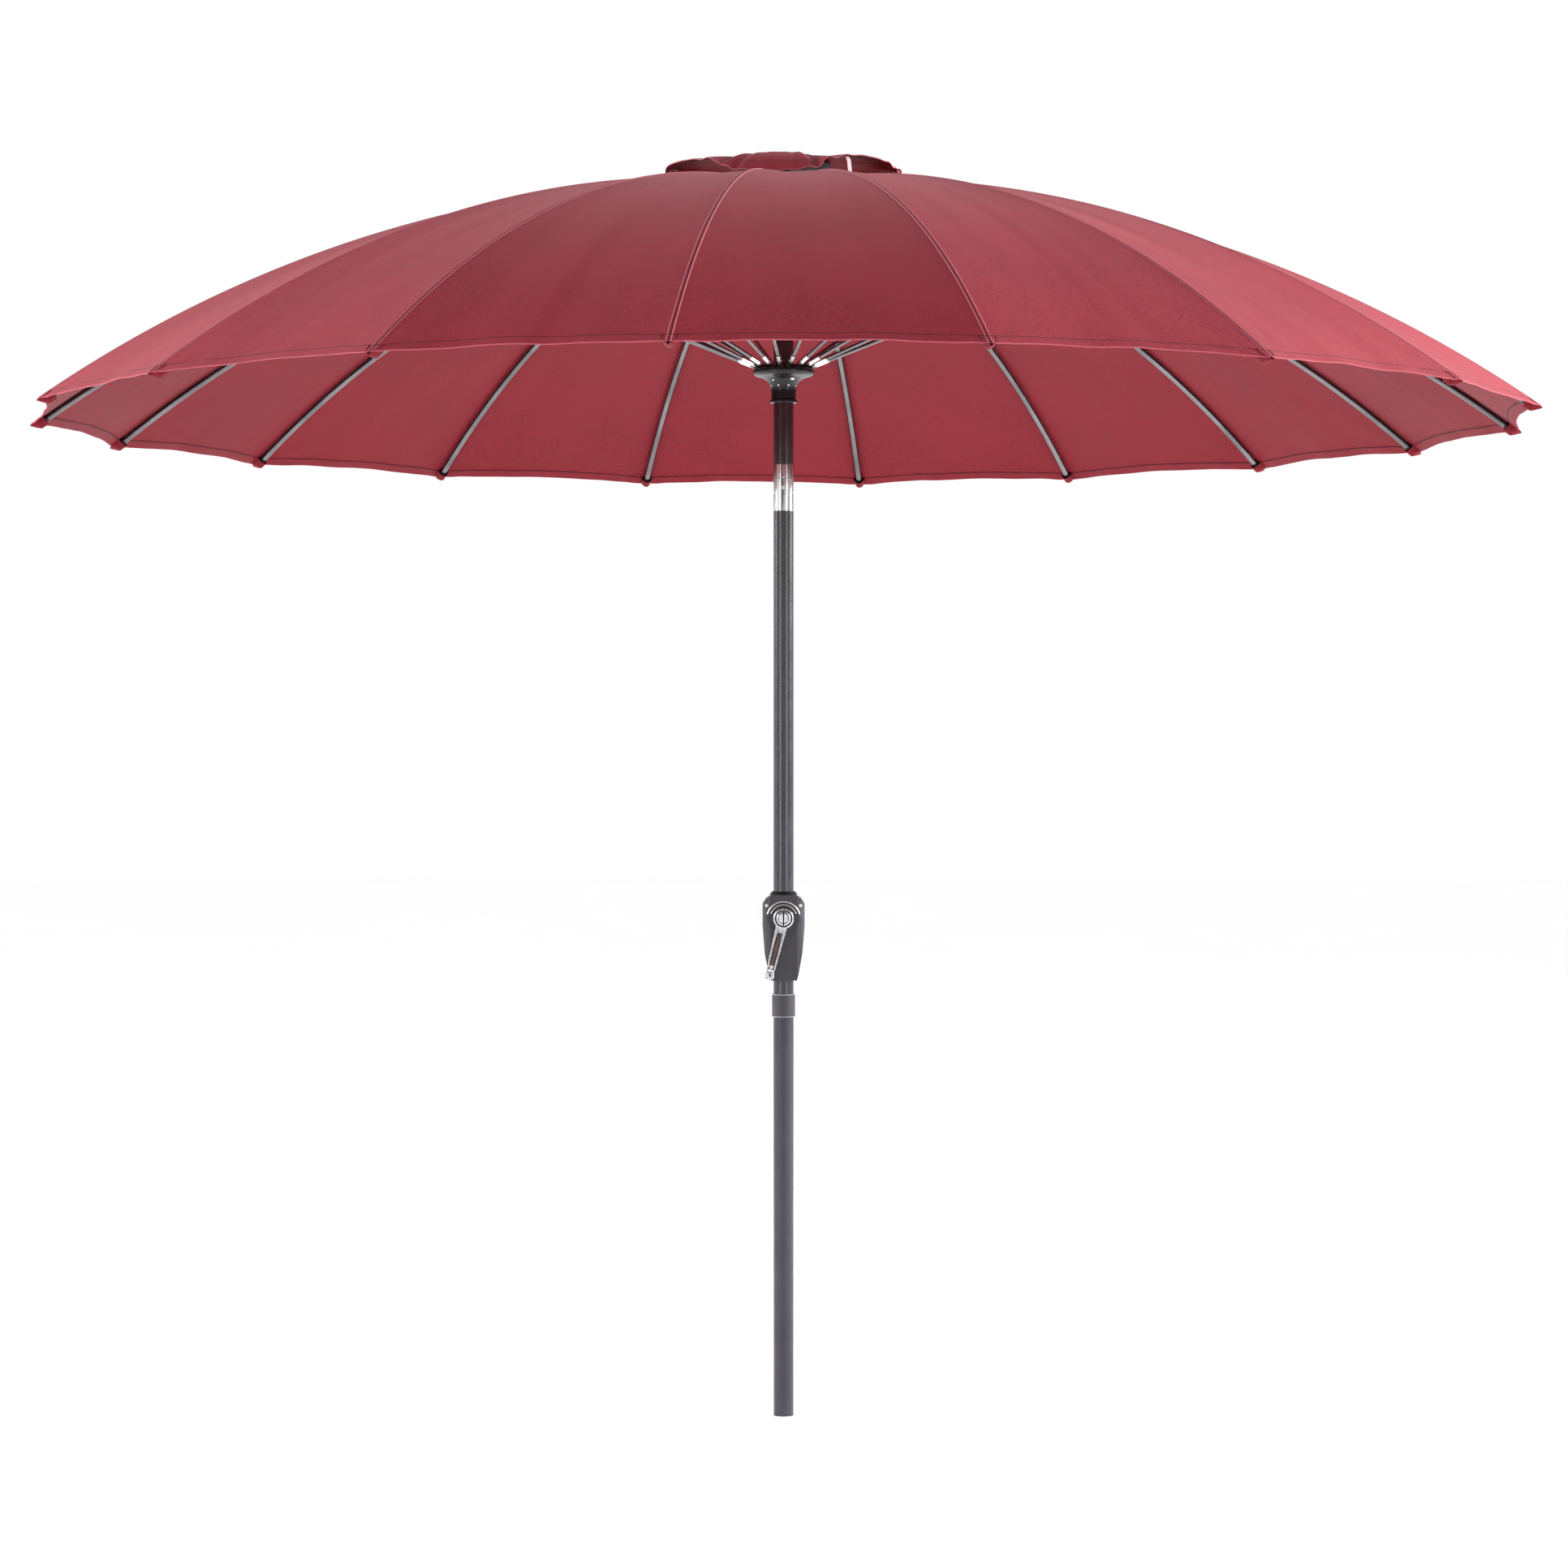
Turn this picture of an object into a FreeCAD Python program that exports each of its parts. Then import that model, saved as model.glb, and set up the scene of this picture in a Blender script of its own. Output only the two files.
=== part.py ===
"""Patio umbrella: two-piece pole, tilt joint, crank lift, folding frame of curved ribs, vented canopy.

Units are millimetres. +Z is up, the origin is the centre of the pole's bottom end, and the crank
faces -Y. Each rib, stretcher and canopy gore is built once beside +X and then turned about Z.
"""
import FreeCAD, Part
import math
import os

V = FreeCAD.Vector
ORIGIN = V(0, 0, 0)
X_AXIS = V(1, 0, 0)
Y_AXIS = V(0, 1, 0)
Z_AXIS = V(0, 0, 1)

# ---- driving dimensions -------------------------------------------------------------------
RIB_COUNT = 18
PITCH_DEG = 360.0 / RIB_COUNT
HALF_GORE = math.radians(PITCH_DEG / 2)
FIRST_RIB_DEG = 2.9

# dome: the canopy's outer face over a rib is an arc of this radius about a point on the axis
DOME_R = 2382.7
DOME_CENTRE_Z = -71.2
RIM_R = 1400.0
VENT_R = 160.0
SCALLOP = 20.0
FABRIC_T = 1.0

# pole
POLE_R = 19.0
POLE_WALL = 1.5
POLE_BORE = POLE_R - POLE_WALL
SLIP = 0.05
SPIGOT_LENGTH = 75.0
COLLAR_R = 21.7
COLLAR_Z = (749.0, 792.0)
COLLAR_LIP = 2.0
JOIN_Z = COLLAR_Z[0]
KNUCKLE_Z = (1699.0, 1786.0)
TILT_Z = 1742.0
PLUG_LENGTH = 50.0

# ribs
RIB_R = 6.0
RIB_DROP = RIB_R + 2.2
RIB_ARC_R = DOME_R - RIB_DROP
HUB_PIVOT_R = 45.0
BLADE_T = 5.0
WIRE_R = 1.5
WIRE_HOLE_R = 1.62
JOINT_R = 628.0
JOINT_DROP = 16.0
JOINT_PIN_R = 2.0
PIN_CLEARANCE = 0.08

# stretchers
STRETCHER_R = 3.4
RUNNER_PIVOT = (47.0, 1968.0)

# hub at the top of the pole
HUB_R = 56.0
HUB_ABOVE = 8.0
HUB_BELOW = 15.0
HUB_NECK_R = 24.0
HUB_NECK_LENGTH = 36.0
SLOT_W = BLADE_T + 0.6
SLOT_FLOOR_R = 39.0

# pulley in the hub's neck
PULLEY_X = 9.0
PULLEY_R = 13.0
PULLEY_W = 7.0
PULLEY_PIN_R = 2.5
PULLEY_BELOW_HUB = 16.0

# runner
RUNNER_BORE = 19.6
RUNNER_RIM_R = 57.5
RUNNER_RIM_Z = (1952.0, 1966.0)
RUNNER_NECK_Z = 1938.0
RUNNER_BODY_R = 23.3
RUNNER_FLANGE_Z = (1902.0, 1908.0)
RUNNER_FLANGE_R = 25.7
RUNNER_SLOT_W = 9.6
RUNNER_SLOT_FLOOR_R = 41.0

# vent cap and the plate that carries it
PLATE_R = 88.0
PLATE_Z = (2346.5, 2350.0)
CAP_HOLE_R = 6.0
CAP_FLAT_R = 100.0
CAP_RIM_R = 222.0
CAP_TOP_Z = 2355.0
CAP_RIM_Z = 2331.0
FINIAL_R = 15.0

# crank housing
HOUSING_Z = (819.0, 979.0)
HOUSING_W = 39.6
HOUSING_FOOT_W = 25.0
HOUSING_SHOULDER_Z = 962.0
HOUSING_TAPER_Z = 922.0
HOUSING_DEPTH = 36.0
HOUSING_CORNER = 17.0
HOUSING_WALL = 3.0
CRANK_Z = 936.0
BOSS_R = 20.5
SHAFT_R = 5.0
DRUM_R = 8.5
SPOOL_FLANGE_R = 12.2
SPOOL_HALF = 11.0

# crank arm, at rest hanging down and leaning to one side
ARM_LEAN_DEG = 14.0
ARM_LENGTH = 110.0
ARM_BACK_Y = -44.5
ARM_BASE_T = 2.0
ARM_FRONT_Y = -58.0
ARM_HUB_R = 19.0
ARM_EYE_R = 9.2
ARM_WALL = 2.2
ARM_TOP_W = 21.0
ARM_END_W = 15.4
CHANNEL = (17.0, 103.0)
GRIP_PIVOT = 99.0
GRIP_Y = -52.3
GRIP_AXLE_R = 2.0
GRIP_START = 9.0
GRIP_LENGTH = 62.0


# ---- helpers ------------------------------------------------------------------------------
def cylinder(radius, start, end, axis=Z_AXIS, at=ORIGIN):
    """A cylinder along an axis, between two distances from the point `at`."""
    return Part.makeCylinder(radius, end - start, at + axis * start, axis)


def tube(outer, inner, low, high):
    return cylinder(outer, low, high).cut(cylinder(inner, low - 1, high + 1))


def block(x, y, z):
    """A box from three (low, high) pairs."""
    return Part.makeBox(x[1] - x[0], y[1] - y[0], z[1] - z[0], V(x[0], y[0], z[0]))


def polygon(points):
    return Part.makePolygon(points + points[:1])


def revolved(outline):
    """A solid of revolution about Z from (radius, height) corners."""
    wire = polygon([V(r, 0, z) for r, z in outline])
    return Part.Face(wire).revolve(ORIGIN, Z_AXIS, 360)


def fused(first, *others):
    return first.fuse(list(others)).removeSplitter()


def turned(shape, degrees, axis=Z_AXIS, about=ORIGIN):
    copy = shape.copy()
    copy.rotate(about, axis, degrees)
    return copy


def ring_of(shape, start_deg):
    """One copy of a shape at each rib's angle, or a fixed angle away from it."""
    return [turned(shape, start_deg + k * PITCH_DEG) for k in range(RIB_COUNT)]


def export(name, *shapes):
    solids = [s for shape in shapes for s in shape.Solids]
    Part.makeCompound(solids).exportStep(f"parts/{name}.step")


# ---- rib and stretcher geometry -----------------------------------------------------------
def rib_angle(radius, arc_r=RIB_ARC_R):
    return math.asin(radius / arc_r)


def on_arc(angle, arc_r=RIB_ARC_R):
    """The point of an arc about the dome's centre, at an angle from the vertical."""
    return V(arc_r * math.sin(angle), 0, DOME_CENTRE_Z + arc_r * math.cos(angle))


def along_rib(shape, angle):
    """Move a shape drawn along +X at the origin to its place on the rib's centreline."""
    placed = turned(shape, math.degrees(angle), Y_AXIS)
    placed.translate(on_arc(angle))
    return placed


HUB_ANGLE = rib_angle(HUB_PIVOT_R)
JOINT_ANGLE = rib_angle(JOINT_R, RIB_ARC_R - JOINT_DROP)
TIP_ANGLE = math.asin(RIM_R / DOME_R) - 5.0 / DOME_R
HUB_PIVOT_Z = on_arc(HUB_ANGLE).z
JOINT = on_arc(JOINT_ANGLE, RIB_ARC_R - JOINT_DROP)


def rib_rod():
    start = HUB_ANGLE + 27.0 / RIB_ARC_R
    end = TIP_ANGLE - 6.5 / RIB_ARC_R
    tangent = V(math.cos(start), 0, -math.sin(start))
    section = Part.Face(Part.Wire(Part.makeCircle(RIB_R, on_arc(start), tangent)))
    return section.revolve(V(0, 0, DOME_CENTRE_Z), Y_AXIS, math.degrees(end - start))


def rib_hub_end():
    """Flat eye for the hub's ring wire, widening into a socket for the rod."""
    half = BLADE_T / 2
    eye = cylinder(5.0, -half, half, Y_AXIS)
    blade = block((0, 26), (-half, half), (-4.8, 4.8))
    flat = along_rib(eye.fuse(blade), HUB_ANGLE)
    socket_angle = HUB_ANGLE + 36.0 / RIB_ARC_R
    socket = along_rib(cylinder(RIB_R + 1.2, -16, 14, X_AXIS), socket_angle)
    bore = along_rib(cylinder(RIB_R + SLIP, -10, 20, X_AXIS), socket_angle)
    hole = along_rib(cylinder(WIRE_HOLE_R, -9, 9, Y_AXIS), HUB_ANGLE)
    return fused(flat, socket).cut(bore).cut(hole)


def rib_clip():
    """Fork under the rod that carries the stretcher's outer pin."""
    half = RIB_R + 1.0
    low = -JOINT_DROP - 5.0
    body = block((-12, 12), (-half, half), (low, RIB_R / 2))
    edges = [e for e in body.Edges if abs(e.CenterOfMass.z - low) < 0.1 and abs(e.CenterOfMass.y) < 1]
    body = body.makeFillet(4.0, edges)
    slot_half = BLADE_T / 2 + 0.3
    slot = block((-13, 13), (-slot_half, slot_half), (low - 1, -JOINT_DROP + 5.4))
    rod = cylinder(RIB_R + 0.1, -13, 13, X_AXIS)
    pin = cylinder(JOINT_PIN_R, -half - 0.9, half + 0.9, Y_AXIS, V(0, 0, -JOINT_DROP))
    return along_rib(fused(body.cut(slot).cut(rod), pin), JOINT_ANGLE)


def rib_tip():
    """Round-ended plastic cap that sits in the canopy's corner pocket."""
    radius = RIB_R + 0.8
    cap = fused(cylinder(radius, -26, -radius, X_AXIS), Part.makeSphere(radius, V(-radius, 0, 0)))
    bore = cylinder(RIB_R + 0.2, -30, -6.2, X_AXIS)
    return along_rib(cap.cut(bore), TIP_ANGLE)


def stretcher_end(length, radius, hole_r, rivet_at):
    """Eye, flat blade and socket, drawn from the eye along +X."""
    half = BLADE_T / 2
    eye = cylinder(4.5, -half, half, Y_AXIS)
    blade = block((0, 20), (-half, half), (-4.2, 4.2))
    socket = cylinder(radius, 16, length, X_AXIS)
    rivet = cylinder(1.3, -radius - 0.4, radius + 0.4, Y_AXIS, V(rivet_at, 0, 0))
    bore = cylinder(STRETCHER_R + SLIP, 22, length + 1, X_AXIS)
    hole = cylinder(hole_r, -9, 9, Y_AXIS)
    return fused(eye, blade, socket, rivet).cut(bore).cut(hole)


def stretcher():
    """Inner end, rod and outer end, drawn along +X and then laid from the runner to the rib."""
    foot = V(RUNNER_PIVOT[0], 0, RUNNER_PIVOT[1])
    run = JOINT - foot
    inner = stretcher_end(40.0, 4.4, WIRE_HOLE_R, 19.0)
    outer = turned(stretcher_end(42.0, 4.4, JOINT_PIN_R + PIN_CLEARANCE, 19.0), 180, Z_AXIS)
    outer.translate(V(run.Length, 0, 0))
    rod = cylinder(STRETCHER_R, 23, run.Length - 23, X_AXIS)
    slope = math.degrees(math.atan2(run.z, run.x))
    pieces = [turned(s, -slope, Y_AXIS) for s in (inner, rod, outer)]
    for piece in pieces:
        piece.translate(foot)
    return pieces


# ---- canopy -------------------------------------------------------------------------------
def gore():
    """One panel, flat from rib to rib and curved from vent to hem, with a scalloped hem."""
    flat = math.cos(HALF_GORE)
    steps = 8

    def profile(arc_r, hem_r, vent_r):
        first, last = math.asin(vent_r / DOME_R), math.asin(hem_r / DOME_R)
        angles = [first + (last - first) * i / steps for i in range(steps + 1)]
        points = [on_arc(a, arc_r) for a in angles]
        curve = Part.BSplineCurve()
        curve.interpolate([V(p.x * flat, 0, p.z) for p in points])
        return curve.toShape()

    top = profile(DOME_R, RIM_R, VENT_R)
    under = profile(DOME_R - FABRIC_T, RIM_R, VENT_R)
    ends = [Part.makeLine(top.Vertexes[i].Point, under.Vertexes[i].Point) for i in (0, -1)]
    face = Part.Face(Part.Wire(Part.__sortEdges__([top, ends[1], under, ends[0]])))
    width = 300.0
    sheet = face.extrude(V(0, 2 * width, 0))
    sheet.translate(V(0, -width, 0))

    seam_gap = 0.05
    reach = 1500.0
    side = reach * math.tan(HALF_GORE)
    inset = seam_gap / math.sin(HALF_GORE)
    corners = [V(inset, 0, 0), V(reach + inset, -side, 0), V(reach + inset, side, 0)]
    wedge = Part.Face(polygon(corners)).extrude(V(0, 0, 3000))
    panel = sheet.common(wedge)

    half_chord = RIM_R * math.sin(HALF_GORE)
    scallop_r = (half_chord ** 2 + SCALLOP ** 2) / (2 * SCALLOP)
    centre = V(RIM_R * flat - SCALLOP + scallop_r, 0, 0)
    return panel.cut(Part.makeCylinder(scallop_r, 3000, centre, Z_AXIS))


def vent_cap():
    t = FABRIC_T
    return revolved([
        (CAP_HOLE_R, CAP_TOP_Z), (CAP_FLAT_R, CAP_TOP_Z), (CAP_RIM_R, CAP_RIM_Z),
        (CAP_RIM_R, CAP_RIM_Z - t), (CAP_FLAT_R, CAP_TOP_Z - t), (CAP_HOLE_R, CAP_TOP_Z - t),
    ])


# ---- top of the pole ----------------------------------------------------------------------
HUB_TOP = HUB_PIVOT_Z + HUB_ABOVE
HUB_FLOOR = HUB_PIVOT_Z - HUB_BELOW
NECK_LOW = HUB_FLOOR - HUB_NECK_LENGTH
UPPER_POLE_TOP = HUB_TOP - 6.0
PULLEY_Z = HUB_FLOOR - PULLEY_BELOW_HUB
PULLEY_AT = V(PULLEY_X, 0, PULLEY_Z)
SHEAVE_HALF = PULLEY_W / 2
PULLEY_SLOT_HALF = SHEAVE_HALF + 0.6


def pulley_slot():
    """Opening on the +X side through which the pulley reaches past the pole's wall."""
    half = PULLEY_SLOT_HALF
    return block((0, 40), (-half, half), (NECK_LOW - 1, PULLEY_Z + PULLEY_R + 2))


def top_hub():
    disc = cylinder(HUB_R, HUB_FLOOR, HUB_TOP)
    rims = [e for e in disc.Edges if abs(e.Length - 2 * math.pi * HUB_R) < 1]
    disc = disc.makeFillet(3.0, rims)
    neck = cylinder(HUB_NECK_R, NECK_LOW, HUB_FLOOR + 1)
    hub = fused(disc, neck).cut(cylinder(POLE_R + SLIP, NECK_LOW - 1, UPPER_POLE_TOP))
    notch = block((SLOT_FLOOR_R, HUB_R + 5), (-SLOT_W / 2, SLOT_W / 2), (HUB_FLOOR - 5, HUB_TOP + 5))
    wire = Part.makeTorus(HUB_PIVOT_R, WIRE_R + SLIP, V(0, 0, HUB_PIVOT_Z))
    pin = cylinder(PULLEY_PIN_R + SLIP, -40, 40, Y_AXIS, PULLEY_AT)
    post = cylinder(4.0 + SLIP, UPPER_POLE_TOP - 1, HUB_TOP + 1)
    hub = hub.cut(ring_of(notch, FIRST_RIB_DEG))
    return hub.cut([wire, pin, post, pulley_slot()])


def hub_pins():
    """The ring wire that every rib turns on, and the pulley's pin."""
    wire = Part.makeTorus(HUB_PIVOT_R, WIRE_R, V(0, 0, HUB_PIVOT_Z))
    half = math.sqrt(HUB_NECK_R ** 2 - PULLEY_X ** 2)
    return [wire, cylinder(PULLEY_PIN_R, -half, half, Y_AXIS, PULLEY_AT)]


def top_pulley():
    half = SHEAVE_HALF
    sheave = cylinder(PULLEY_R, -half, half, Y_AXIS, PULLEY_AT)
    groove = Part.makeTorus(PULLEY_R, 2.2, PULLEY_AT, Y_AXIS)
    bore = cylinder(PULLEY_PIN_R + 0.06, -9, 9, Y_AXIS, PULLEY_AT)
    return sheave.cut([groove, bore])


def upper_pole():
    pole = tube(POLE_R, POLE_BORE, KNUCKLE_Z[1], UPPER_POLE_TOP)
    pin = cylinder(PULLEY_PIN_R + SLIP, -40, 40, Y_AXIS, PULLEY_AT)
    return pole.cut([pin, pulley_slot()])


def vent_plate():
    """Disc on a post that holds the vent cap up, and the nut that clamps the cap."""
    plate = cylinder(PLATE_R, *PLATE_Z)
    rims = [e for e in plate.Edges if abs(e.Length - 2 * math.pi * PLATE_R) < 1]
    plate = plate.makeFillet(1.5, rims)
    post = cylinder(11.0, HUB_TOP, PLATE_Z[0])
    stud = cylinder(4.0, HUB_TOP - 5.5, CAP_TOP_Z + 4)
    nut_low = CAP_TOP_Z + 0.1
    nut = cylinder(FINIAL_R, nut_low, nut_low + 8)
    top = [e for e in nut.Edges if abs(e.CenterOfMass.z - nut_low - 8) < 0.1]
    nut = nut.makeFillet(5.0, top).cut(cylinder(4.0 + SLIP, nut_low - 1, CAP_TOP_Z + 5))
    return [fused(plate, post, stud), nut]


# ---- runner -------------------------------------------------------------------------------
def runner():
    """Sliding collar. The slots run through the rim, so the stretchers' open pivots stay clear."""
    low, high = RUNNER_RIM_Z
    body = revolved([
        (RUNNER_BORE, RUNNER_FLANGE_Z[0]), (RUNNER_FLANGE_R, RUNNER_FLANGE_Z[0]),
        (RUNNER_FLANGE_R, RUNNER_FLANGE_Z[1]), (RUNNER_BODY_R, RUNNER_FLANGE_Z[1]),
        (RUNNER_BODY_R, RUNNER_NECK_Z), (30.0, low - 3), (40.0, low), (RUNNER_RIM_R - 4, low),
        (RUNNER_RIM_R, low + 5), (RUNNER_RIM_R, high - 4), (RUNNER_RIM_R - 3, high),
        (40.0, high), (34.0, high + 5), (RUNNER_BORE, high + 5),
    ])
    slot = block(
        (RUNNER_SLOT_FLOOR_R, RUNNER_RIM_R + 5),
        (-RUNNER_SLOT_W / 2, RUNNER_SLOT_W / 2),
        (low - 10, high + 10),
    )
    return body.cut(ring_of(slot, FIRST_RIB_DEG))


# ---- tilt joint ---------------------------------------------------------------------------
TONGUE_HALF = 8.0
TONGUE_GAP = 0.25
EAR_R = 18.9
SWING_R = 20.3
PIN_R = 4.0
TILT_AT = V(0, 0, TILT_Z)
BUTTON_Z = 1711.0
BUTTON_R = 4.5
BUTTON_TRAVEL = 3.0


def tilt_yoke():
    """Lower half: a plug in the main pole and two round-topped ears."""
    low = KNUCKLE_Z[0]
    body = cylinder(POLE_R, low, TILT_Z)
    ears = cylinder(EAR_R, -POLE_R, POLE_R, Y_AXIS, TILT_AT).common(cylinder(POLE_R, low, TILT_Z + 30))
    plug = cylinder(POLE_BORE - SLIP, low - PLUG_LENGTH, low)
    slot_half = TONGUE_HALF + TONGUE_GAP
    swing = cylinder(SWING_R, -slot_half, slot_half, Y_AXIS, TILT_AT)
    above = block((-40, 40), (-slot_half, slot_half), (TILT_Z, TILT_Z + 40))
    pin = cylinder(PIN_R + SLIP, -40, 40, Y_AXIS, TILT_AT)
    bore = cylinder(BUTTON_R + 0.08, -POLE_R - 1, -5.0, X_AXIS, V(0, 0, BUTTON_Z))
    duct = cylinder(6.0, low - PLUG_LENGTH - 1, TILT_Z, at=V(7, 0, 0))
    return fused(body, ears, plug).cut([swing, above, pin, bore, duct])


def tilt_socket():
    """Upper half: a plug in the upper pole and a round-ended tongue between the ears."""
    high = KNUCKLE_Z[1]
    body = cylinder(POLE_R, TILT_Z, high)
    swing = cylinder(SWING_R, -POLE_R - 1, POLE_R + 1, Y_AXIS, TILT_AT)
    tongue = block((-POLE_R, POLE_R), (-TONGUE_HALF, TONGUE_HALF), (TILT_Z, TILT_Z + 25))
    tongue = tongue.fuse(cylinder(EAR_R, -TONGUE_HALF, TONGUE_HALF, Y_AXIS, TILT_AT))
    tongue = tongue.common(cylinder(POLE_R, TILT_Z - 30, high))
    plug = cylinder(POLE_BORE - SLIP, high, high + PLUG_LENGTH)
    pin = cylinder(PIN_R + 0.06, -40, 40, Y_AXIS, TILT_AT)
    duct = cylinder(4.0, TILT_Z - 30, high + PLUG_LENGTH + 1, at=V(9, 0, 0))
    return fused(body.cut(swing), tongue, plug).cut([pin, duct])


def tilt_pin():
    return cylinder(PIN_R, -17.8, 17.8, Y_AXIS, TILT_AT)


def tilt_button():
    """Flush release button in the yoke's -X side; it is pressed towards +X."""
    button = cylinder(BUTTON_R, -POLE_R, -9.5, X_AXIS, V(0, 0, BUTTON_Z))
    return button.common(cylinder(POLE_R - 0.1, BUTTON_Z - 10, BUTTON_Z + 10))


# ---- lower poles --------------------------------------------------------------------------
def lower_pole():
    return tube(POLE_R, POLE_BORE, 0, JOIN_Z)


def coupling_collar():
    """Plastic sleeve on the main pole's end, with a lip between the two poles' ends."""
    low, high = COLLAR_Z
    lip = tube(COLLAR_R, POLE_BORE + SLIP, low, low + COLLAR_LIP)
    collar = fused(tube(COLLAR_R, POLE_R + SLIP, low, high), lip)
    rims = [e for e in collar.Edges if abs(e.Length - 2 * math.pi * COLLAR_R) < 1]
    return collar.makeFillet(0.9, rims)


def main_pole():
    """Tube with a reduced spigot that slides into the lower pole, and holes for the crank."""
    low = JOIN_Z + COLLAR_LIP
    pole = tube(POLE_R, POLE_BORE, low, KNUCKLE_Z[0])
    spigot_bore = POLE_BORE - SLIP - POLE_WALL
    spigot = tube(POLE_BORE - SLIP, spigot_bore, JOIN_Z - SPIGOT_LENGTH, low + 6)
    web = tube(POLE_BORE + 0.5, spigot_bore, low, low + 6)
    at = V(0, 0, CRANK_Z)
    front = cylinder(SPOOL_FLANGE_R + 1, -POLE_R - 1, 0, Y_AXIS, at)
    back = cylinder(SHAFT_R + 1.5, 0, POLE_R + 1, Y_AXIS, at)
    return fused(pole, web, spigot).cut([front, back])


# ---- crank --------------------------------------------------------------------------------
SHAFT_AT = V(0, 0, CRANK_Z)


def housing_outline(inset):
    """Front outline of the housing, the same distance inside all round."""
    w, foot = HOUSING_W - inset, HOUSING_FOOT_W - inset
    low, high = HOUSING_Z[0] + inset, HOUSING_Z[1] - inset
    side = [
        (foot, low), (foot + 3.2, low + 12), (foot + 10.4, low + 52), (w, HOUSING_TAPER_Z),
        (w, HOUSING_SHOULDER_Z), (w - 6.5, HOUSING_SHOULDER_Z + 10 - inset / 2), (22.5, high),
    ]
    points = [V(x, 0, z) for x, z in side] + [V(-x, 0, z) for x, z in reversed(side)]
    return Part.Face(polygon(points))


def housing_solid():
    shape = housing_outline(0).extrude(V(0, 2 * HOUSING_DEPTH, 0))
    shape.translate(V(0, -HOUSING_DEPTH, 0))
    plan = block((-HOUSING_W, HOUSING_W), (-HOUSING_DEPTH, HOUSING_DEPTH), (800, 1000))
    uprights = [e for e in plan.Edges if abs(e.Length - 200) < 0.1]
    return shape.common(plan.makeFillet(HOUSING_CORNER, uprights))


def housing_cavity():
    """Room for the spool, between the two collars that clamp the pole."""
    shape = housing_outline(HOUSING_WALL).extrude(V(0, 2 * HOUSING_DEPTH - 2 * HOUSING_WALL, 0))
    shape.translate(V(0, HOUSING_WALL - HOUSING_DEPTH, 0))
    half = HOUSING_DEPTH - HOUSING_WALL
    plan = block((-HOUSING_W + HOUSING_WALL, HOUSING_W - HOUSING_WALL), (-half, half), (833, 956))
    uprights = [e for e in plan.Edges if abs(e.Length - 123) < 0.1]
    return shape.common(plan.makeFillet(HOUSING_CORNER - HOUSING_WALL, uprights))


SCREW_AT = [(-32.0, 959.0, -1), (32.0, 959.0, -1), (-21.5, 829.0, 1), (21.5, 829.0, 1)]
SCREW_R = 2.0
SCREW_HEAD_R = 3.4
SCREW_LENGTH = 46.0


def screw(x, z, side, spare=0.0):
    """A pan-head screw along Y whose head is on the front (-1) or the back (1)."""
    at = V(x, 0, z)
    depth = screw_face(x) * side
    shank = cylinder(SCREW_R + spare, *sorted((depth, depth - SCREW_LENGTH * side)), Y_AXIS, at)
    head = cylinder(SCREW_HEAD_R + spare, *sorted((depth, depth + 2.4 * side)), Y_AXIS, at)
    return shank.fuse(head).removeSplitter()


def screw_face(x):
    """Depth of the flat seat that is cut for a screw's head."""
    return HOUSING_DEPTH - (9.0 if abs(x) > 25 else 3.0)


def housing_halves():
    shell = housing_solid().cut(housing_cavity()).cut(cylinder(POLE_R + SLIP, 800, 1000))
    boss = cylinder(BOSS_R, -HOUSING_DEPTH - 4.5, -HOUSING_DEPTH + 1, Y_AXIS, SHAFT_AT)
    ring = cylinder(29.5, -HOUSING_DEPTH - 1, -HOUSING_DEPTH + 1.6, Y_AXIS, SHAFT_AT)
    ring = ring.cut(cylinder(26.0, -HOUSING_DEPTH - 2, -HOUSING_DEPTH + 2, Y_AXIS, SHAFT_AT))
    shaft = cylinder(SHAFT_R + 0.06, -60, HOUSING_DEPTH - 1.5, Y_AXIS, SHAFT_AT)
    bearing = tube(10.0, SHAFT_R + 0.06, 0, 10)
    bearing = turned(bearing, -90, X_AXIS)
    bearing.translate(V(0, HOUSING_DEPTH - HOUSING_WALL - 9, CRANK_Z))
    gap = 0.02
    front = shell.common(block((-60, 60), (-60, -gap), (800, 1000)))
    back = shell.common(block((-60, 60), (gap, 60), (800, 1000)))
    front = fused(front, boss).cut([ring, shaft])
    back = fused(back, bearing).cut(shaft)
    for x, z, side in SCREW_AT:
        face = screw_face(x) * side
        seat = cylinder(SCREW_HEAD_R + 0.8, *sorted((face, face + 20 * side)), Y_AXIS, V(x, 0, z))
        cuts = [seat, screw(x, z, side, 0.03)]
        front, back = front.cut(cuts), back.cut(cuts)
    return front, back


def housing_screws():
    """Two screws from the front and two from the back, each with a cross slot."""
    screws = []
    for x, z, side in SCREW_AT:
        face = (screw_face(x) + 2.4) * side
        slot = block((x - 2.4, x + 2.4), sorted((face - side, face + side)), (z - 0.4, z + 0.4))
        screws.append(screw(x, z, side).cut([slot, turned(slot, 90, Y_AXIS, V(x, 0, z))]))
    return screws


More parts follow.
